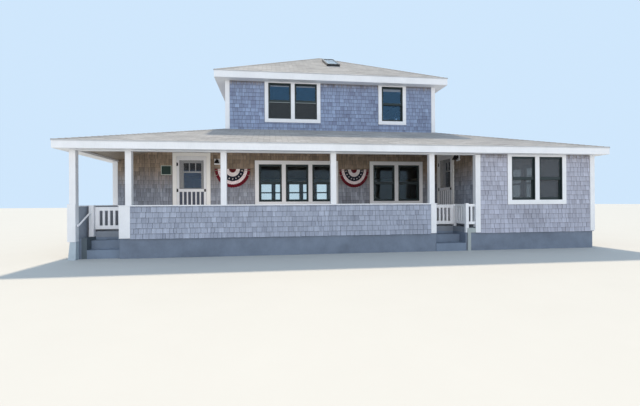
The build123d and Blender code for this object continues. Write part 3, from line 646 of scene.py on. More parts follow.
# %% [markdown]
# ## The shingled walls
# Each wall is given by the corner at its left foot, the way to its right and its length. The trim
# on it could be listed by hand, but its sizes stand in the solids already. So the corners of the
# casings and corner boards are turned into the wall's own frame, and the shingles run 3 mm short
# of them.

# %% Shingles on every wall
LOWER_PITCH = 0.281
UPPER_PITCH = 0.512
TRIM_GAP = 0.003
STANDS_OUT = 0.005
NEAR_WALL = 0.02
FOOT_LAP = 0.02
UNDER_GLASS = 0.49
PEDESTAL_STOP = 0.2

eaves_low, eaves_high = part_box("lower_eaves")
upper_low, upper_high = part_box("upper_eaves")
body_low, body_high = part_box("back_wall")
half_house = body_high.x
half_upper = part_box("upper_front_wall")[1].x
porch_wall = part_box("porch_wall_left")[0].y
wing_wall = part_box("wing_front_wall")[0].x
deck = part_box("porch_deck")[1].z
wall_foot = body_low.z - FOOT_LAP
rail_low, rail_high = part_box("porch_half_wall")
rail_foot = rail_low.z - FOOT_LAP
ceiling_low, ceiling_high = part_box("porch_ceiling")
soffit = eaves_low.z
upper_soffit = upper_low.z
first_upper_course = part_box("upper_glass")[0].z - UNDER_GLASS


def upright(corner, across):
    """A frame on a wall: X runs to the right seen from outside, Y stands out and Z goes up."""
    across = Vector(across)
    out = Vector((across.y, -across.x, 0))
    turned = Matrix((across, out, Vector((0, 0, 1)))).transposed().to_4x4()
    return Matrix.Translation(corner) @ turned


def trim_on(place, length):
    """The trim that stands on a wall, as left, right, low and high in the wall's frame."""
    found = []
    back = place.inverted()
    for low, high in trim_boxes:
        corners = [Vector((x, y, 0)) for x in (low.x, high.x) for y in (low.y, high.y)]
        near, far = box_round([back @ corner for corner in corners])
        if far.y > STANDS_OUT and near.y < NEAR_WALL and far.x > 0 and near.x < length:
            found.append((near.x - TRIM_GAP, far.x + TRIM_GAP, low.z, high.z))
    return found


def cut_away(shape, point, normal):
    """Cuts the shape with a plane, drops the side that the normal points to and closes the cut."""
    everything = shape.verts[:] + shape.edges[:] + shape.faces[:]
    bmesh.ops.bisect_plane(shape, geom=everything, plane_co=point, plane_no=normal, clear_outer=True)
    bmesh.ops.holes_fill(shape, edges=[edge for edge in shape.edges if edge.is_boundary], sides=0)


def shingle_wall(name, material, corner, across, length, low, high, seed, under=()):
    """All the shingles of one wall, cut along the planes in under."""
    shape = bmesh.new()
    place = upright((corner[0], corner[1], 0), (*across, 0))
    lay_courses(shape, place, length, low, high, trim_on(place, length), random.Random(seed))
    for point, normal in under:
        cut_away(shape, point, normal)
    keep_piece(name, shape, material)


SIDES = {
    "front": ((-1, -1), (1, 0)),
    "right": ((1, -1), (0, 1)),
    "back": ((1, 1), (-1, 0)),
    "left": ((-1, 1), (0, -1)),
}
for number, (side, (corner, across)) in enumerate(SIDES.items()):
    start = (corner[0] * half_upper, corner[1] * half_upper)
    shingle_wall(f"upper_{side}_shingles", blue_shaded_upper_cedar, start, across, 2 * half_upper,
                 first_upper_course, upper_soffit, 10 + number)

shingle_wall("wing_front_shingles", lower_cedar, (wing_wall, -half_house), (1, 0), half_house - wing_wall,
             wall_foot, soffit, 21)
shingle_wall("right_shingles", lower_cedar, (half_house, -half_house), (0, 1), 2 * half_house,
             wall_foot, soffit, 22)
shingle_wall("back_shingles", lower_cedar, (half_house, half_house), (-1, 0), 2 * half_house,
             wall_foot, soffit, 23)
shingle_wall("left_shingles", lower_cedar, (-half_house, half_house), (0, -1), half_house - porch_wall,
             wall_foot, soffit, 24)
under_ceiling = ((ceiling_low, (0, -LOWER_PITCH, 1)), (ceiling_low, (-LOWER_PITCH, 0, 1)))
shingle_wall("porch_wall_shingles", porch_cedar, (-half_house, porch_wall), (1, 0), wing_wall + half_house,
             deck, ceiling_high.z, 25, under_ceiling)
shingle_wall("wing_side_shingles", porch_cedar, (wing_wall, porch_wall), (0, -1), half_house + porch_wall,
             deck, ceiling_high.z, 26, under_ceiling[:1])
shingle_wall("front_rail_shingles", shrub_shaded_rail_cedar, (rail_low.x, rail_low.y), (1, 0), rail_high.x - rail_low.x,
             rail_foot, rail_high.z, 27)
shingle_wall("side_rail_shingles", shrub_shaded_rail_cedar, (-half_house, porch_wall), (0, -1),
             half_house + porch_wall - PEDESTAL_STOP, rail_foot, rail_high.z, 28)

# %% [markdown]
# ## The roofs
# Each roof has four equal slopes of three-tab felt, laid from the eave up with the slots offset
# by half a tab. One slope is laid wider than it is and then cut along both hips with
# `bisect_plane`, and the open cuts are closed again with `holes_fill`. Tabs that were fitted to
# the hip one by one would give the same edge with far more code.

# %% Roof slopes
TAB_EXPOSURE = 0.143
TAB_WIDTH = 0.305
TAB_THICK = 0.004
TAB_LIFT = 0.006
TAB_GAP = 0.006
TAB_LAP = 0.03
TAB_TONE = (0.5, 0.22)
LEAST_TAB = 0.02
HIP_SPARE = 0.1
EAVE_REACH = 0.012
FASCIA = 0.025
CURB_FOOT = 0.03


def slope_frame(eave, eave_height, pitch):
    """The front slope's frame, from just past the eave: X along it, Y off the roof, Z up the slope."""
    angle = math.atan(pitch)
    up_slope = Vector((0, math.cos(angle), math.sin(angle)))
    off_roof = Vector((0, -math.sin(angle), math.cos(angle)))
    turned = Matrix((Vector((1, 0, 0)), off_roof, up_slope)).transposed().to_4x4()
    start = (-eave - EAVE_REACH, -eave - EAVE_REACH, eave_height - pitch * EAVE_REACH)
    return Matrix.Translation(start) @ turned


def roof_slope(name, number, eave, top, eave_height, pitch, blocked, seed):
    """One slope from the eave in to a plan distance from the centre."""
    chance = random.Random(seed)
    place = slope_frame(eave, eave_height, pitch)
    eave += EAVE_REACH
    level_share = math.cos(math.atan(pitch))
    length = (eave - top) / level_share
    shape = bmesh.new()
    layers = shingle_layers(shape)
    foot, course = 0.0, 0
    while foot < length - LEAST_TAB:
        head = min(foot + TAB_EXPOSURE, length)
        reach = foot * level_share
        lap = TAB_LAP if head < length else 0
        for start, end, bottom, high in free_runs(2 * eave, foot, head, blocked):
            left = start - (course % 2) * TAB_WIDTH / 2
            while left < end:
                right = min(left + TAB_WIDTH, end)
                on_slope = right > reach - HIP_SPARE and left < 2 * eave - reach + HIP_SPARE
                if on_slope and right - max(left, start) > LEAST_TAB:
                    lay_one(shape, layers, place, max(left, start), right - TAB_GAP, bottom, high + lap,
                            TAB_THICK, TAB_LIFT, some_tone(chance, *TAB_TONE))
                left += TAB_WIDTH
        foot += TAB_EXPOSURE
        course += 1
    for outward in ((-1, 1, 0), (1, 1, 0)):
        cut_away(shape, (0, 0, 0), outward)
    bmesh.ops.transform(shape, matrix=quarter_turns(number), verts=shape.verts)
    keep_piece(name, shape, roof_granules)


lower_eave = eaves_high.x
upper_eave = upper_high.x
lower_eave_top = eaves_high.z - LOWER_PITCH * FASCIA
upper_eave_top = upper_high.z - UPPER_PITCH * FASCIA

on_upper_slope = slope_frame(upper_eave, upper_eave_top, UPPER_PITCH).inverted()
curb = [on_upper_slope @ vertex.co for vertex in nodes["skylight_curb"].data.vertices]
curb_low, curb_high = box_round([point for point in curb if point.y < CURB_FOOT])
skylight_gap = (curb_low.x, curb_high.x, curb_low.z, curb_high.z)
for number, side in enumerate(SIDES):
    roof_slope(f"lower_{side}_tabs", number, lower_eave, half_upper, lower_eave_top, LOWER_PITCH,
               [], 40 + number)
    roof_slope(f"upper_{side}_tabs", number, upper_eave, 0.0, upper_eave_top, UPPER_PITCH,
               [skylight_gap] if side == "front" else [], 50 + number)


# %% [markdown]
# ## Hip caps
# Short tabs folded over each hip cover the cut ends of two slopes, and show as a darker beaded
# line: their tone is darker than the tabs', a painted shade of each cap's far side. A folded strip
# bent along the hip would look too smooth, so every cap is two thin leaves, sheared cubes that meet
# on the hip, and each lies on the cap below it.


# %% Hip caps
CAP_WIDTH = 0.125
CAP_LENGTH = 0.165
CAP_THICK = 0.005
CAP_LIFT = 0.006
CAP_START = 0.55
CAP_SIDE = 0.0615
CAP_UP = 0.0125
# A darker tone than the tabs: painted shade of each cap's far side.
CAP_SHADED_TONE = (0.15, 0.12)
WALL_CLEAR = 0.05
APEX_CLEAR = 0.06


def hip_caps(name, eave, top, eave_height, pitch, seed):
    """Folded tabs over the four hips: each cap is two thin leaves that meet on the hip."""
    chance = random.Random(seed)
    shape = bmesh.new()
    tones, across, rise = shingle_layers(shape)
    hip_line = Vector((1, 1, pitch)) * (eave - top)
    along = hip_line.normalized()
    angle = math.atan(pitch)
    sides = (
        (Vector((1, 0, 0)), Vector((0, -math.sin(angle), math.cos(angle)))),
        (Vector((0, 1, 0)), Vector((-math.sin(angle), 0, math.cos(angle)))),
    )
    for hip in range(4):
        for step in range(int(hip_line.length / TAB_EXPOSURE) + 1):
            tone = some_tone(chance, *CAP_SHADED_TONE)
            centre = Vector((-eave, -eave, eave_height)) + along * (step + CAP_START) * TAB_EXPOSURE
            for level, off in sides:
                leaf = (level - along * level.dot(along)).normalized()
                columns = (leaf * CAP_WIDTH, off * CAP_THICK, along * CAP_LENGTH - off * CAP_LIFT)
                move = Matrix.Translation(centre + leaf * CAP_SIDE + off * CAP_UP)
                move = quarter_turns(hip) @ move @ Matrix(columns).transposed().to_4x4()
                made = bmesh.ops.create_cube(shape, size=1, matrix=move)["verts"]
                for face in {face for vertex in made for face in vertex.link_faces}:
                    face[tones] = tone
                for number, vertex in enumerate(made):
                    vertex[across] = 0.5
                    vertex[rise] = number % 2
    for side in ((1, 0, 0), (-1, 0, 0), (0, 1, 0), (0, -1, 0)):
        cut_away(shape, Vector(side) * (eave + EAVE_REACH), side)
    bmesh.ops.recalc_face_normals(shape, faces=shape.faces)
    keep_piece(name, shape, roof_granules)


hip_caps("lower_hip_caps", lower_eave, half_upper + WALL_CLEAR, lower_eave_top, LOWER_PITCH, 61)
hip_caps("upper_hip_caps", upper_eave, APEX_CLEAR, upper_eave_top, UPPER_PITCH, 62)

# %% [markdown]
# ## Drip edges
# A strip of pale metal closes the edge under the first course of tabs. It is the thin light line
# that outlines both roofs above the white boards, and it is made as four long boxes per roof that
# overlap at the corners.


# %% Drip edges
DRIP_OUT = 0.008
DRIP_FACE = 0.001
DRIP_IN = 0.04
DRIP_UP = 0.004
DRIP_DOWN = 0.024
DRIP_THICK = 0.003


def drip_edge(name, eave, height):
    """Four lengths of folded metal: a face on the board and a flange under the tabs."""
    shape = bmesh.new()
    out, face, high = -eave - DRIP_OUT, -eave - DRIP_FACE, height + DRIP_UP
    for number in range(4):
        made = add_box(shape, (out, out, height - DRIP_DOWN), (-out, face, high))
        made += add_box(shape, (out, face, high - DRIP_THICK), (-out, DRIP_IN - eave, high))
        bmesh.ops.transform(shape, matrix=quarter_turns(number), verts=made)
    keep_piece(name, shape, edge_metal)


drip_edge("lower_drip_edge", lower_eave, lower_eave_top)
drip_edge("upper_drip_edge", upper_eave, upper_eave_top)

# %% [markdown]
# ## The porch lamps
# Each lamp is a black cone shade on a short bent arm, in front of a square white plate. The cone
# is spun from a profile, because a cone shape would be solid, and this one is a thin shell that is
# open below. The arm is a row of rings bridged along a bend, which a cylinder can't follow.

# %% Parts of a lamp
LAMP_STEPS = 28
LAMP_OUT = 0.13
PLATE_HALF = 0.09
PLATE_DEEP = 0.04
PLATE_ROUND = 0.006
ROSE_PLACE = (0, 0.047, 0.02)
ROSE_RADIUS = 0.045
ROSE_DEEP = 0.014
ARM_RADIUS = 0.009
ARM = ((0, 0.04, 0.02), (0, 0.07, 0.028), (0, 0.10, 0.045), (0, 0.122, 0.052), (0, 0.13, 0.044))
SHELL = (
    (0.010, 0.074), (0.018, 0.068), (0.022, 0.056), (0.081, -0.052), (0.084, -0.057),
    (0.079, -0.054), (0.018, 0.050), (0.010, 0.056), (0.010, 0.074),
)
BULB_RADIUS = 0.026
BULB_DROP = 0.004


def porch_place(low, high, on_wing, height=0):
    """The wall's frame at the middle of something on the porch wall or on the wing's side wall."""
    middle = (low + high) / 2
    if on_wing:
        return upright((wing_wall, middle.y, height), (0, -1, 0))
    return upright((middle.x, porch_wall, height), (1, 0, 0))


def spun_profile(shape, points, place):
    """A profile of distance and height, spun once round an upright line."""
    corners = [shape.verts.new(place @ Vector((distance, 0, height))) for distance, height in points]
    edges = [shape.edges.new(pair) for pair in zip(corners, corners[1:])]
    bmesh.ops.spin(shape, geom=corners + edges, cent=place.translation, axis=(0, 0, 1),
                   angle=math.radians(360), steps=LAMP_STEPS, use_merge=True)


def bent_arm(shape, points, radius, place):
    """Rings of ten along a path, bridged into a tube and closed at both ends."""
    rings = []
    last = len(points) - 1
    for number, point in enumerate(points):
        way = Vector(points[min(last, number + 1)]) - Vector(points[max(0, number - 1)])
        aim = way.to_track_quat("Z", "Y").to_matrix().to_4x4()
        ring = bmesh.ops.create_circle(shape, segments=10, radius=radius, cap_ends=number in (0, last),
                                       matrix=place @ Matrix.Translation(point) @ aim)
        rings.append(ring["verts"])
    for pair in zip(rings, rings[1:]):
        edges = [edge for ring in pair for edge in edges_of(ring) if all(end in ring for end in edge.verts)]
        bmesh.ops.bridge_loops(shape, edges=edges)


print("a lamp's arm bends through", len(ARM), "points, and its shade has", len(SHELL))

# %% [markdown]
# The lamps stand where the plain lamp solids are, which they replace. All plates are one piece,
# and so are the shades and the bulbs, because each kind has one finish.

# %% Lamps
plates, cones, bulbs = bmesh.new(), bmesh.new(), bmesh.new()
for low, high in solid_boxes("wall_lamps"):
    place = porch_place(low, high, high.x > wing_wall - LAMP_OUT, (low.z + high.z) / 2)
    plate = placed_box(plates, place, (-PLATE_HALF, 0, -PLATE_HALF), (PLATE_HALF, PLATE_DEEP, PLATE_HALF))
    soften(plates, plate, PLATE_ROUND)
    rose = place @ Matrix.Translation(ROSE_PLACE) @ Matrix.Rotation(math.pi / 2, 4, "X")
    bmesh.ops.create_cone(cones, cap_ends=True, segments=24, radius1=ROSE_RADIUS, radius2=ROSE_RADIUS,
                          depth=ROSE_DEEP, matrix=rose)
    bent_arm(cones, ARM, ARM_RADIUS, place)
    hung = place @ Matrix.Translation((0, LAMP_OUT, 0))
    spun_profile(cones, SHELL, hung)
    bmesh.ops.create_uvsphere(bulbs, u_segments=16, v_segments=10, radius=BULB_RADIUS,
                              matrix=hung @ Matrix.Translation((0, 0, -BULB_DROP)))
bmesh.ops.remove_doubles(cones, verts=cones.verts, dist=5 * WELD_REACH)
bmesh.ops.recalc_face_normals(cones, faces=cones.faces)
lamp_white = paint("lamp_bulb_white", solid(0.88, 0.86, 0.80), 0.3, 0.05)
keep_piece("lamp_plates", plates, white_paint)
lamp_shades = keep_piece("lamp_shades", cones, black_metal)
keep_piece("lamp_bulbs", bulbs, lamp_white, smooth=True)
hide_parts("wall_lamps")

# %% [markdown]
# ## Door hardware and screens
# Black hinges and a latch stand out on each white screen door, and fine dark mesh fills its upper
# light and backs its pickets. They ride on the doors, so they turn with them. Two of the three
# hinges are fitted over the plain knuckles of the solids and are 1 mm larger all round.


# %% Hinges, latches and mesh
LEAF_WIDTH = 0.865
CASING_PROUD = 0.032
STILE = 0.074
MIDDLE_RAIL = (0.896, 0.984)
SCREEN_TOP = 0.124
SCREEN_FOOT = 0.150
UPPER_MESH_OUT = 0.014
LOWER_MESH_OUT = 0.0045
MESH_THICK = 0.001
HINGE_FROM_END = 0.25
HINGE_HALF = 0.047
HINGE_LEAF = (0.001, 0.040)
HINGE_THICK = 0.0035
PIN_PAST = 0.0025
PIN_OUT = 0.005
PIN_RADIUS = 0.0062
PIN_LENGTH = 0.096
TIP_RADIUS = 0.0066
TIP_PLACE = 0.052
LATCH_PARTS = ((0.026, 0.042, 0.004, 0.0015), (0.014, 0.032, 0.027, 0.004))


def dress_screen_door(body):
    """The mesh, hinges and latch of one screen door, which all ride on it."""
    low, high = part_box(body)
    bottom, top = low.z, high.z
    place = porch_place(low, high, high.x - low.x < high.y - low.y)
    back = place.inverted()
    right = max((back @ vertex.co).x for vertex in nodes[body].data.vertices)
    left = right - LEAF_WIDTH
    for part, out, foot, head, screen in (
        ("mesh", UPPER_MESH_OUT, bottom + MIDDLE_RAIL[1], top - SCREEN_TOP, fine_screen),
        ("lower_mesh", LOWER_MESH_OUT, bottom + SCREEN_FOOT, bottom + MIDDLE_RAIL[0], picket_screen),
    ):
        mesh = bmesh.new()
        placed_box(mesh, place, (left + STILE, out, foot), (right - STILE, out + MESH_THICK, head))
        keep_piece(f"{body}_{part}", mesh, screen, body)

    black = bmesh.new()
    middle = bottom + sum(MIDDLE_RAIL) / 2
    for height in (bottom + HINGE_FROM_END, middle, top - HINGE_FROM_END):
        pin = place @ Matrix.Translation((left - PIN_PAST, CASING_PROUD + PIN_OUT, height))
        bmesh.ops.create_cone(black, cap_ends=True, segments=14, radius1=PIN_RADIUS, radius2=PIN_RADIUS,
                              depth=PIN_LENGTH, matrix=pin)
        for tip in (-TIP_PLACE, TIP_PLACE):
            bmesh.ops.create_uvsphere(black, u_segments=10, v_segments=6, radius=TIP_RADIUS,
                                      matrix=pin @ Matrix.Translation((0, 0, tip)))
        leaf = placed_box(black, place, (left + HINGE_LEAF[0], CASING_PROUD, height - HINGE_HALF),
                          (left + HINGE_LEAF[1], CASING_PROUD + HINGE_THICK, height + HINGE_HALF))
        soften(black, leaf, 0.0012, 1)
    latch = right - STILE / 2
    for half_wide, half_high, deep, rounding in LATCH_PARTS:
        part = placed_box(black, place, (latch - half_wide, CASING_PROUD, middle - half_high),
                          (latch + half_wide, CASING_PROUD + deep, middle + half_high))
        soften(black, part, rounding)
    bmesh.ops.recalc_face_normals(black, faces=black.faces)
    keep_piece(f"{body}_hardware", black, black_metal, body)


for screen_door in ("front_screen_door", "side_screen_door"):
    dress_screen_door(screen_door)

# %% [markdown]
# ## Window frames
# Each pair of sashes slides in a dark frame that lines the white casing, and a wider dark face
# covers the joint of frame and sash. Seen from the side, that lining is what makes the far edge of
# a window look thick. Every window has the same frame, so rings of four boards are fitted to each
# pair of sashes as it is measured, and no size is written twice.

# %% A frame for every pair of sashes
SETBACK = 0.015
SASH_DEPTH = 0.035
SASH_BACK = -SETBACK - SASH_DEPTH
LINING = 0.018
LINING_OUT = 0.026
FACE = 0.058
FACE_PROUD = 0.006
MEETING_FACE = 0.072
MEETING_PROUD = 0.009


def sash_place(low, high):
    """The wall's frame at a pair of sashes, and the pair's half width."""
    off_wall = 1 if high.x - low.x > high.y - low.y else 0
    corner = (low + high) / 2
    outward = -1 if corner[off_wall] < 0 else 1
    corner[off_wall] = (low if outward < 0 else high)[off_wall] + outward * SETBACK
    corner.z = 0
    across = (-outward, 0, 0) if off_wall else (0, outward, 0)
    return upright(corner, across), (high - low)[1 - off_wall] / 2


def ring_of_boxes(shape, place, half, foot, head, near, far, width):
    """Four boards round a light: two posts and two rails between them."""
    inner = half - width
    for left, right, low, high in (
        (-half, -inner, foot, head),
        (inner, half, foot, head),
        (-inner, inner, foot, foot + width),
        (-inner, inner, head - width, head),
    ):
        placed_box(shape, place, (left, far, low), (right, near, high))


sash_pairs = solid_boxes("lower_sashes") + solid_boxes("upper_sashes")
frames = bmesh.new()
for low, high in sash_pairs:
    place, half = sash_place(low, high)
    middle = (low.z + high.z) / 2
    inner = half - LINING
    ring_of_boxes(frames, place, half, low.z, high.z, LINING_OUT, SASH_BACK, LINING)
    for foot, head, back in ((middle, high.z - LINING, -SETBACK), (low.z + LINING, middle, SASH_BACK)):
        ring_of_boxes(frames, place, inner, foot, head, back + FACE_PROUD, back, FACE - LINING)
    placed_box(frames, place, (-inner, -SETBACK, middle - MEETING_FACE / 2),
               (inner, MEETING_PROUD - SETBACK, middle + MEETING_FACE / 2))
keep_piece("window_frames", frames, sash_paint)

# %% [markdown]
# ## Screens and shades
# Two windows have insect screens, which take the shine off the glass: dark half screens at the
# wide upper one, and grey ones over both sashes of the wing's. The top bar of each half screen is
# painted paler than its frame, a painted highlight where light catches it. A pale shade shows as a
# strip at the head of each upper window, painted a dim blue-grey as the painted shade of the unlit
# room behind the glass. All are thin boxes in the window's own frame, told apart by where the
# window stands.

# %% Half screens, grey screens and shades
SCREEN_BAR = 0.022
SCREEN_SHORT = 0.002
SCREEN_HEAD = 0.030
TOP_BAR = (0.052, 0.034)
SHADE_HEAD = 0.012
SHADE_DROPS = (0.036, 0.085)

half_frames, half_mesh, highlit_top_bars, wing_mesh, shades = (bmesh.new() for kind in range(5))
for low, high in sash_pairs:
    place, half = sash_place(low, high)
    foot, head = low.z, high.z
    middle = (foot + head) / 2
    centre = place.translation
    upstairs = foot > soffit
    at_front = centre.y < 0 and high.x - low.x > high.y - low.y
    wide_upper = upstairs and at_front and centre.x < 0
    light = half - FACE
    if wide_upper:
        reach = half - LINING - SCREEN_SHORT
        inner = reach - SCREEN_BAR
        rim_foot, rim_head = foot + LINING, middle - SCREEN_HEAD
        ring_of_boxes(half_frames, place, reach, rim_foot, rim_head, -0.004, -0.012, SCREEN_BAR)
        placed_box(half_mesh, place, (-inner, -0.009, rim_foot + SCREEN_BAR),
                   (inner, -0.008, rim_head - SCREEN_BAR))
        # The top bar is paler than the dark frame, a painted highlight where light catches the screen's top.
        placed_box(highlit_top_bars, place, (-reach, -0.004, middle - TOP_BAR[0]),
                   (reach, -0.001, middle - TOP_BAR[1]))
    if at_front and not upstairs and centre.x > wing_wall:
        placed_box(wing_mesh, place, (-light, -0.023, middle + SCREEN_HEAD), (light, -0.022, head - FACE))
        placed_box(wing_mesh, place, (-light, -0.058, foot + FACE), (light, -0.057, middle - SCREEN_HEAD))
    if upstairs:
        shade_head = head - FACE - SHADE_HEAD
        drop = SHADE_DROPS[0] if wide_upper else SHADE_DROPS[1]
        placed_box(shades, place, (-light, -0.0285, shade_head - drop), (light, -0.0265, shade_head))
frame_grey = paint("screen_frame_grey", solid(0.03, 0.035, 0.035), 0.5, 0.1)
# Pale grey for the top bars is a painted highlight; the shade cloth's dim blue-grey is painted shade of the
# room behind the glass.
highlit_bar_grey = paint("highlit_screen_bar_grey", solid(0.24, 0.27, 0.27), 0.5, 0.1)
dim_shade_cloth = paint("dim_upper_shade_cloth", solid(0.20, 0.24, 0.30), 0.8, 0.1)
keep_piece("half_screen_frames", half_frames, frame_grey)
keep_piece("half_screen_mesh", half_mesh, dense_screen)
keep_piece("half_screen_highlit_top_bars", highlit_top_bars, highlit_bar_grey)
keep_piece("wing_screen_mesh", wing_mesh, grey_screen)
keep_piece("upper_shades", shades, dim_shade_cloth)

# %% [markdown]
# ## The roof light's blind, the corner base and the boards beside the right stairs
# A pale blind lies close under the pane of the roof light and makes it bright, a painted reflection
# that stands for the bright sky the pane mirrors. The flared base under the corner pedestal has a
# paler coat than the dark concrete round the house. One solid can't wear both, so a thin skin follows
# its flare: a box whose foot is moved out on two sides. Beside the right stairs a pale upright board
# and a rim board finish the open end of the porch.

# %% Blind, base and stair boards
BLIND_SHARE = 0.98
BLIND_THICK = 0.003
BLIND_DOWN = 0.012
BASE_FLARE = 0.030
BASE_SKIN = 0.004
BASE_SHORT = 0.006
FOOT_HEIGHT = 0.01
BOARD_LEFT, BOARD_RIGHT = 3.03, 3.12
BOARD_PROUD = 0.020
RIM_FOOT, RIM_TOP = 0.480, 0.600

# A bright sheet under the glass: a painted reflection of the sky on the roof light.
pane_low, pane_high = box_round([vertex.co for vertex in nodes["skylight_glass"].data.vertices])
pitch_angle = math.atan(UPPER_PITCH)
width = pane_high.x - pane_low.x
depth = (pane_high.y - pane_low.y) / math.cos(pitch_angle) * BLIND_SHARE
glare_blind = bmesh.new()
on_pane = Matrix.Translation((pane_low + pane_high) / 2) @ Matrix.Rotation(pitch_angle, 4, "X")
placed_box(glare_blind, on_pane, (-width / 2, -depth / 2, -BLIND_DOWN - BLIND_THICK / 2),
           (width / 2, depth / 2, BLIND_THICK / 2 - BLIND_DOWN))
keep_piece("roof_light_glare_blind", glare_blind, white_paint)

pedestal_low, pedestal_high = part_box("corner_pedestal")
base_skin = bmesh.new()
corners = add_box(base_skin, (-half_house - BASE_SKIN, -half_house - BASE_SKIN, 0),
                  (pedestal_high.x + BASE_SKIN, pedestal_high.y - BASE_SHORT, pedestal_low.z))
for way in (0, 1):
    foot = [corner for corner in corners if corner.co.z < FOOT_HEIGHT and corner.co[way] < -half_house]
    bmesh.ops.translate(base_skin, verts=foot, vec=(way * BASE_FLARE - BASE_FLARE, -way * BASE_FLARE, 0))
base_grey = paint("base_render_grey", solid(0.50, 0.58, 0.64), 0.8, 0.2)
keep_piece("corner_base_skin", base_skin, base_grey)

boards = bmesh.new()
for right, foot, head in ((BOARD_RIGHT, 0, RIM_FOOT), (wing_wall, RIM_FOOT, RIM_TOP)):
    add_box(boards, (BOARD_LEFT, -half_house - BOARD_PROUD, foot), (right, -half_house, head))
keep_piece("right_stair_boards", boards, paint("stair_board_grey", solid(0.38, 0.42, 0.42)))

# %% [markdown]
# ## The bunting's cloth
# Two half-round pleated fans of cloth hang on the porch wall, in bands of red, cream and navy
# with small stars. A picture of them could be wrapped on, but a pattern of nodes stays sharp and
# needs no file. The cloth's own UV map holds the share of the turn and of the radius, so the bands
# and the stars follow the cloth and not the wall.

# %% Bunting cloth material
RED = solid(0.15, 0.005, 0.016)
NAVY = solid(0.006, 0.011, 0.030)
CREAM = solid(0.86, 0.80, 0.81)
PINK_CREAM = solid(0.86, 0.75, 0.77)
THREAD_DARK = solid(0.02, 0.02, 0.02)
BANDS = ((0.20, CREAM), (0.41, NAVY), (0.66, PINK_CREAM), (0.83, RED))
STARS = 9
STAR_RING = 0.54
STAR_SIZE = 0.17
STAR_POINT = 0.07

bunting_cloth, tree, shader = start_material("bunting_cloth", 0.85, Sheen_Weight=0.04)
cloth_uv = add("ShaderNodeUVMap", {"uv_map": "cloth"}, tree).outputs["UV"]
turn_share = axis(cloth_uv, "X")
radius_share = axis(cloth_uv, "Y")
colour = RED
for edge, band in BANDS:
    colour = blend(figure("GREATER_THAN", radius_share, edge), colour, band)
star_turns = figure("FRACT", figure("MULTIPLY", turn_share, float(STARS)))
star_x = figure("SUBTRACT", star_turns, 0.5)
star_y = figure("SUBTRACT", radius_share, STAR_RING)
star_y = figure("MULTIPLY", star_y, STARS / (math.pi * STAR_RING))
star_angle = figure("ARCTAN2", star_x, star_y)
star_points = figure("COSINE", figure("MULTIPLY", star_angle, 5.0))
star_reach = figure("ADD", figure("MULTIPLY", star_points, STAR_POINT), STAR_SIZE)
squares = [figure("MULTIPLY", side, side) for side in (star_x, star_y)]
star_far = figure("SQRT", figure("ADD", *squares))
colour = blend(figure("LESS_THAN", star_far, star_reach), colour, CREAM)
thread = noise(place_of(tree), 900.0, 1.0)
fade = noise(place_of(tree), 7.0, 3.0)
colour = shaded(colour, remap(fade, 0.3, 0.7, 0.86, 1.08))
colour_in(shader, blend(remap(thread, 0.3, 0.7, 0.0, 0.12), colour, THREAD_DARK))
bump(shader, thread, 0.0006, 0.6)
print(bunting_cloth.name, "has", len(BANDS) + 1, "bands and a ring of stars")

# %% [markdown]
# ## The pleated fans
# A fan is a half circle of cloth, gathered at its middle and nailed flat. A cloth simulation would
# fold it by chance, and these pleats are even. So the cloth starts as a straight row of vertices
# that is spun half a turn, and every vertex is then pushed off the wall by a wave that counts the
# pleats. Solidify gives the cloth its thickness.

# %% Pleated fans
PLEATS = 22
STEPS_PER_PLEAT = 8
RINGS = 16
FIRST_RING = 0.02
SIDE_ROOM = 0.012
FOOT_ROOM = 0.020
CLOTH_OUT = 0.020
PLEAT_DEPTH = (0.004, 0.010)
BELLY = 0.016
SAG = 0.012
CLOTH_THICK = 0.0012


def bunting(name, node):
    """A half disc of cloth, spun from a row of points and folded into pleats."""
    low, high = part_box(node)
    middle_x, half = (low.x + high.x) / 2, (high.x - low.x) / 2
    drop = high.z - low.z
    shape = bmesh.new()
    radii = [FIRST_RING + (1 - FIRST_RING) * number / RINGS for number in range(RINGS + 1)]
    row = [shape.verts.new((radius, 0, 0)) for radius in radii]
    edges = [shape.edges.new(pair) for pair in zip(row, row[1:])]
    bmesh.ops.spin(shape, geom=row + edges, cent=(0, 0, 0), axis=(0, 1, 0), angle=math.pi,
                   steps=PLEATS * STEPS_PER_PLEAT)
    cloth = shape.loops.layers.uv.new("cloth")
    where = {}
    for vertex in shape.verts:
        share = math.atan2(abs(vertex.co.z), vertex.co.x) / math.pi
        where[vertex] = (share, math.hypot(vertex.co.x, vertex.co.z))
    for face in shape.faces:
        for loop in face.loops:
            loop[cloth].uv = where[loop.vert]
    for vertex, (share, radius) in where.items():
        wave = math.cos(share * PLEATS * 2 * math.pi)
        depth = PLEAT_DEPTH[0] + PLEAT_DEPTH[1] * radius
        sag = SAG * math.sin(share * PLEATS * math.pi) ** 2 * radius ** 3
        angle = share * math.pi
        vertex.co = (
            middle_x + math.cos(angle) * (half - SIDE_ROOM) * radius,
            high.y - CLOTH_OUT - depth * wave - BELLY * math.sin(angle) * radius,
            high.z - math.sin(angle) * (drop - FOOT_ROOM) * radius - sag,
        )
    bmesh.ops.recalc_face_normals(shape, faces=shape.faces)
    area = sum(face.calc_area() for face in shape.faces)
    piece = keep_piece(name, shape, bunting_cloth, smooth=True)
    thickness = piece.modifiers.new("cloth_thickness", "SOLIDIFY")
    thickness.thickness = CLOTH_THICK
    thickness.offset = 0
    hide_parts(node)
    print(name, "has", round(area, 2), "square metres of cloth")


bunting("left_bunting_cloth", "left_bunting")
bunting("right_bunting_cloth", "right_bunting")

# %% [markdown]
# ## The plaque
# A small dark green board with a raised pale edge hangs beside the front door. Its face is bare.
# The board is a solid already, so only the edge is added, as four thin strips that meet at the
# corners.

# %% Plaque edge
EDGE = 0.014
EDGE_PROUD = 0.005

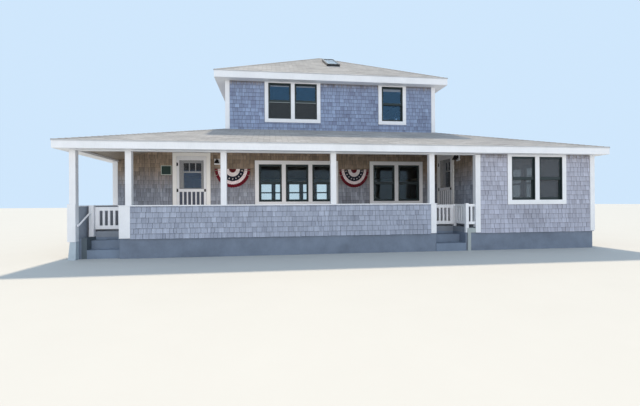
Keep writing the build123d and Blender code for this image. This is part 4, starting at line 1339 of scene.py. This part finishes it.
plaque_low, plaque_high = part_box("plaque")
left, foot, right, head = plaque_low.x, plaque_low.z, plaque_high.x, plaque_high.z
rim = bmesh.new()
for start, end, low, high in (
    (left, right, head - EDGE, head),
    (left, right, foot, foot + EDGE),
    (left, left + EDGE, foot + EDGE, head - EDGE),
    (right - EDGE, right, foot + EDGE, head - EDGE),
):
    add_box(rim, (start, plaque_low.y - EDGE_PROUD, low), (end, plaque_low.y, high))
keep_piece("plaque_edge", rim, paint("plaque_edge_paint", solid(0.60, 0.67, 0.61)))

# %% [markdown]
# ## Finishes for the solids that stay
# Everything that isn't covered keeps its solid and only needs its paint. A new piece over each
# board would double the mesh and change nothing that shows, so the finish goes straight into the
# solid's material slot.

# %% Materials on the solids
FINISHES = {
    white_paint: (
        "corner_pedestal", "half_wall_pilasters", "half_wall_caps", "porch_posts", "porch_beams",
        "lower_eaves", "upper_eaves", "corner_boards", "lower_window_casings", "upper_window_casings",
        "front_screen_door", "front_door", "side_screen_door", "side_door", "left_gate", "right_gate",
        "left_stair_railing", "right_stair_railing",
    ),
    lit_casing_paint: ("door_casings",),
    sash_paint: ("lower_sashes", "upper_sashes"),
    clear_glass: ("lower_glass",),
    door_glass: ("front_door_glass", "side_door_glass"),
    upper_glass: ("upper_glass",),
    roof_glass: ("skylight_glass",),
    concrete: ("foundation",),
    step_paint: ("left_steps", "right_steps"),
    slate_paint: ("stair_cheek",),
    panel_grey: ("porch_half_wall", "side_half_walls"),
    deck_paint: ("porch_deck",),
    ceiling_boards: ("porch_ceiling",),
    floor_boards: ("main_floor", "upper_floor"),
    curb_metal: ("skylight_curb",),
    plaque_green: ("plaque",),
    roof_felt: ("lower_roof", "upper_roof"),
}


def finish_all(finish, names):
    for name in names:
        nodes[name].data.materials.clear()
        nodes[name].data.materials.append(finish)


for finish, names in FINISHES.items():
    finish_all(finish, names)

pale_floor, tree, shader = start_material("pale_floor", 0.9)
mottle = noise(place_of(tree), 0.8, 5.0, 0.6)
colour_in(shader, blend(mottle, solid(0.51, 0.50, 0.48), solid(0.54, 0.53, 0.51)))
floor.data.materials.append(pale_floor)
print(sum(len(names) for names in FINISHES.values()), "solids have their paint, glass or metal")

# %% [markdown]
# ## Wall cores
# A wall's solid shows as dark felt in the gaps of its shingles, and as plaster inside the rooms.
# The two faces could be two slots, but a solid's mesh is left as it is. So one material looks at
# how far out a point lies along the wall's own direction, and changes at a level inside the wall.


# %% Felt outside, plaster inside
def wall_core(name, side, level):
    """Dark felt on the outer half of a wall, plaster on the inner half."""
    made, tree, shader = start_material(name, 0.8)
    place = place_of(tree)
    across = figure("MULTIPLY", axis(place, side[1]), -1.0 if side[0] == "-" else 1.0)
    outer = figure("GREATER_THAN", across, level)
    mottled = blend(noise(place, 6.0), solid(0.50, 0.49, 0.46), solid(0.60, 0.59, 0.56))
    colour_in(shader, blend(outer, mottled, solid(0.15, 0.15, 0.17)))
    bump(shader, noise(place, 40.0), 0.0008)
    return made


WALL_CORES = (
    ("front_core", "-Y", 6.70, ("wing_front_wall",)),
    ("right_core", "+X", 6.70, ("right_wall",)),
    ("back_core", "+Y", 6.70, ("back_wall",)),
    ("left_core", "-X", 6.70, ("left_wall",)),
    ("porch_core", "-Y", 4.20, ("porch_wall_left", "porch_wall_right", "porch_wall_over_door")),
    ("wing_core", "-X", -3.32, ("wing_side_wall_front", "wing_side_wall_back", "wing_side_wall_over_door")),
    ("upper_front_core", "-Y", 3.53, ("upper_front_wall",)),
    ("upper_right_core", "+X", 3.53, ("upper_right_wall",)),
    ("upper_back_core", "+Y", 3.53, ("upper_back_wall",)),
    ("upper_left_core", "-X", 3.53, ("upper_left_wall",)),
)

for core, side, level, names in WALL_CORES:
    finish_all(wall_core(core, side, level), names)
print(len(WALL_CORES), "kinds of wall core")

# %% [markdown]
# ## Soft edges
# The corners of painted boards are never quite sharp, and a sharp one catches no light. Each such
# solid gets a Weld, which joins its loose triangles, and a small Bevel. Both are modifiers, so the
# mesh itself stays untouched.

# %% Weld and bevel
WELD_TRIM = 0.00002
EDGE_WIDTH = 0.002
SOFT_EDGES = FINISHES[white_paint] + (
    "door_casings", "lower_sashes", "upper_sashes", "foundation", "stair_cheek",
)
for name in SOFT_EDGES:
    weld = nodes[name].modifiers.new("join_triangles", "WELD")
    weld.merge_threshold = WELD_TRIM
    soft = nodes[name].modifiers.new("soft_edges", "BEVEL")
    soft.width = EDGE_WIDTH
    soft.segments = 1
    soft.limit_method = "ANGLE"
    soft.angle_limit = math.radians(40)
    soft.harden_normals = False
print(len(SOFT_EDGES), "solids have soft edges")

# %% [markdown]
# ## Sizes, and the end
# The box round the dressed house is set beside the box round its solids, and the print shows how far it
# grows past them. The dressed house may only be as large as its solids allow.

# %% The sizes at the end
low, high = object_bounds()
{"cad": [list(cad_low), list(cad_high)], "visual": [list(low), list(high)]}
print("grew by", [round(v, 4) for v in (cad_low - low)], [round(v, 4) for v in (high - cad_high)])
